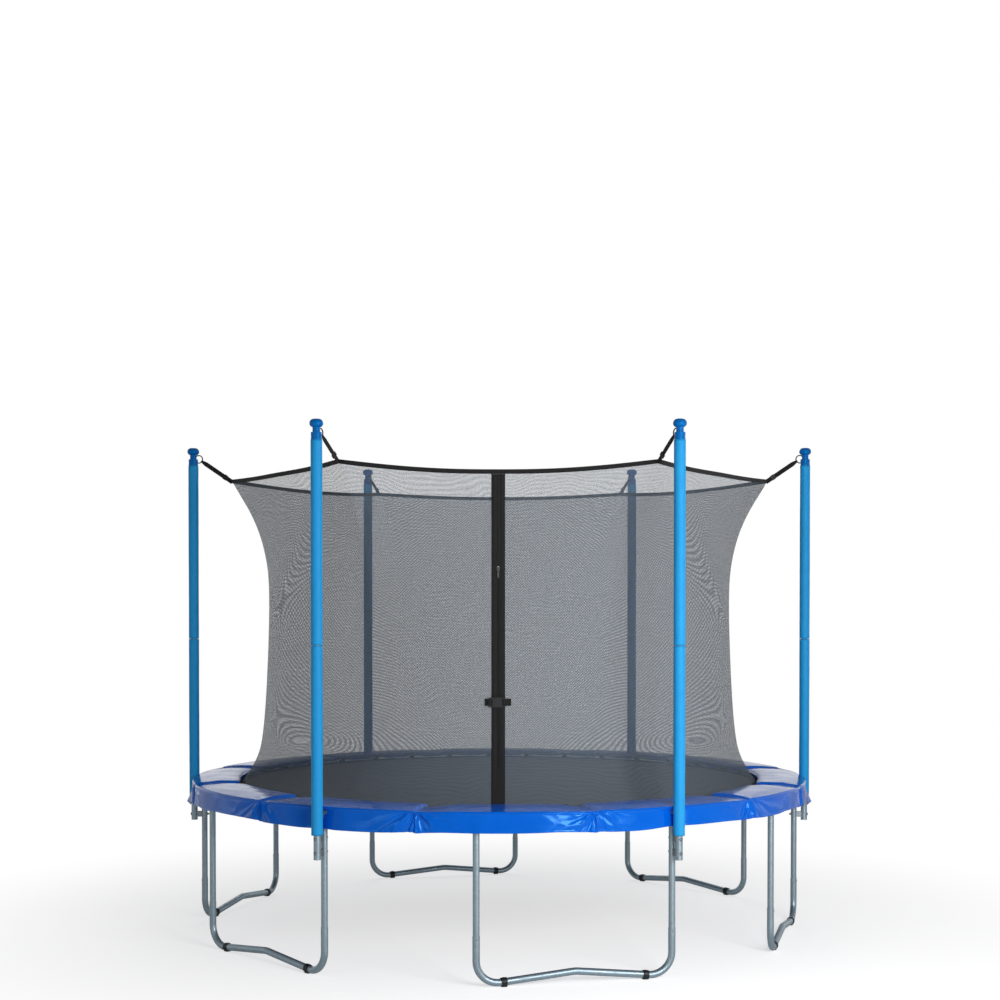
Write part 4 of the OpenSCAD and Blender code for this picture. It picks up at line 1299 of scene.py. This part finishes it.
def skirt_out(angle, depth):
    """How far the skirt's vinyl stands out of its plain cone, in metres."""
    x = np.radians(from_seam(angle)) * skirt_r
    number = seam_number(angle)
    spread, away = np.arctan2(x, depth + 0.012), np.hypot(x, depth)
    wobble = soft_noise(number * 7.7, x * 9, depth * 12)
    count, reach = 2.9 + 0.5 * np.sin(number * 2.4), 0.105 + 0.03 * np.sin(number * 5.1)
    ridge = 1 - np.abs(np.sin(spread * count + number * 1.7 + wobble * 1.3)) ** 0.7
    fade = np.clip(away / 0.025, 0, 1) * np.exp(-((x / reach) ** 2))
    folds = 17.0 * MM * (ridge - 0.35) * fade
    billow = 3.5 * MM * soft_noise(angle * 0.22, depth * 5, 5.0)
    near = np.exp(-((from_seam(angle) / 5) ** 2))
    ruck = np.abs(soft_noise(spread * 4 + number, away * 9, 7.0))
    crumple = (0.6 + 3.4 * near) * MM * (1 - 4 * ruck)
    tuck = -6.0 * MM * np.exp(-((x / 0.010) ** 2)) * np.clip(depth / 0.02, 0, 1)
    return (folds + tuck + billow + crumple) * np.clip(depth / 0.022, 0, 1)


def skirt_grid():
    """Outside of the skirt down to its hem, round the hem, and the inside back up."""
    angle = pad_angles[None, :]
    seam = seam_share(angle)
    full = skirt_top - skirt_low
    depths = np.concatenate([[0.0, 0.002], np.linspace(0.004, 0.014, 7), np.linspace(0.018, full, 20)])
    depths = depths[:, None]
    lean_out = 10 * MM * depths / full
    welt = 3.4 * MM * np.sqrt(np.maximum(0, 1 - ((depths - 0.008) / 0.0045) ** 2))
    r = skirt_start_r - 4 * MM * seam + lean_out + welt + skirt_out(angle, depths)
    dent = 27 * MM * np.exp(-((from_pole(angle) / 2.1) ** 2)) * np.clip(depths / 0.02, 0.35, 1)
    r = np.minimum(r, skirt_r - 0.2 * MM) - dent
    longer = 1 + hem_drop(angle) / full
    z = skirt_top - 6 * MM * valley(angle) - depths * longer
    hem_stitch = 0.9 * MM * np.exp(-(((depths - 0.092) / 0.0025) ** 2))
    outside = polar(angle, r - hem_stitch, z)
    inside = polar(angle, r - cloth_t, z)[::-1]
    return np.concatenate([outside, inside], axis=0)


skirt = piece_from_grid("pad_skirt", skirt_grid()[::-1], vinyl, round_cols=True, round_rows=True)
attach(skirt, "frame")

# %% Flaps in front of the side poles
flap_along = np.array([205, 180, 150, 120, 95, 72, 46]) * MM
flap_top_out = np.array([-31, -28, -24, -21, -19, -13, -6]) * MM
flap_foot_out = np.array([-15, -12, -7, 0, 9, 21, 38]) * MM
flap_tops = np.array([896, 896, 895, 893, 885, 866, 842]) * MM
flap_feet = np.array([742, 736, 731, 728, 730, 734, 740]) * MM


def flap_grid(side):
    """Free corner of the skirt that stands out in front of a side pole; side is 1 on the right."""
    line = smooth_line(
        np.column_stack([flap_along, flap_top_out, flap_foot_out, flap_tops, flap_feet]), 8
    )
    share = np.linspace(0, 1, 16)[:, None]
    x, top_out, foot_out, top, foot = (line[:, i][None, :] for i in range(5))
    depth = share * (top - foot)
    spread = np.arctan2(x - 0.05, depth + 0.02)
    folds = 2.5 * MM * np.sin(spread * 4.5) * np.clip(depth / 0.04, 0, 1)
    out = top_out + (foot_out - top_out) * share + folds + 1.0 * MM * soft_noise(x * 9, depth * 9, 2.0)
    outside = np.stack(np.broadcast_arrays(side * (pole_r + out), -x, top - depth), axis=-1)
    inside = outside - np.array([side * cloth_t, 0.0, 0.0])
    return np.concatenate([outside, inside[::-1]], axis=0)


for side, name in ((1, "skirt_flap_right"), (-1, "skirt_flap_left")):
    grid = flap_grid(side)
    flap = piece_from_grid(name, grid if side > 0 else grid[::-1], vinyl, round_rows=True)
    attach(flap, "frame")
print("pad: cushion, skirt and two flaps")

# %% [markdown]
# ## Remove the pattern pieces
#
# The dressed trampoline has to stay as big as its frame. The stitch and tooth patterns were
# only there to be copied, so they are removed.

# %% Remove the pattern pieces
for pattern in (stitch, tooth):
    bpy.data.objects.remove(pattern)
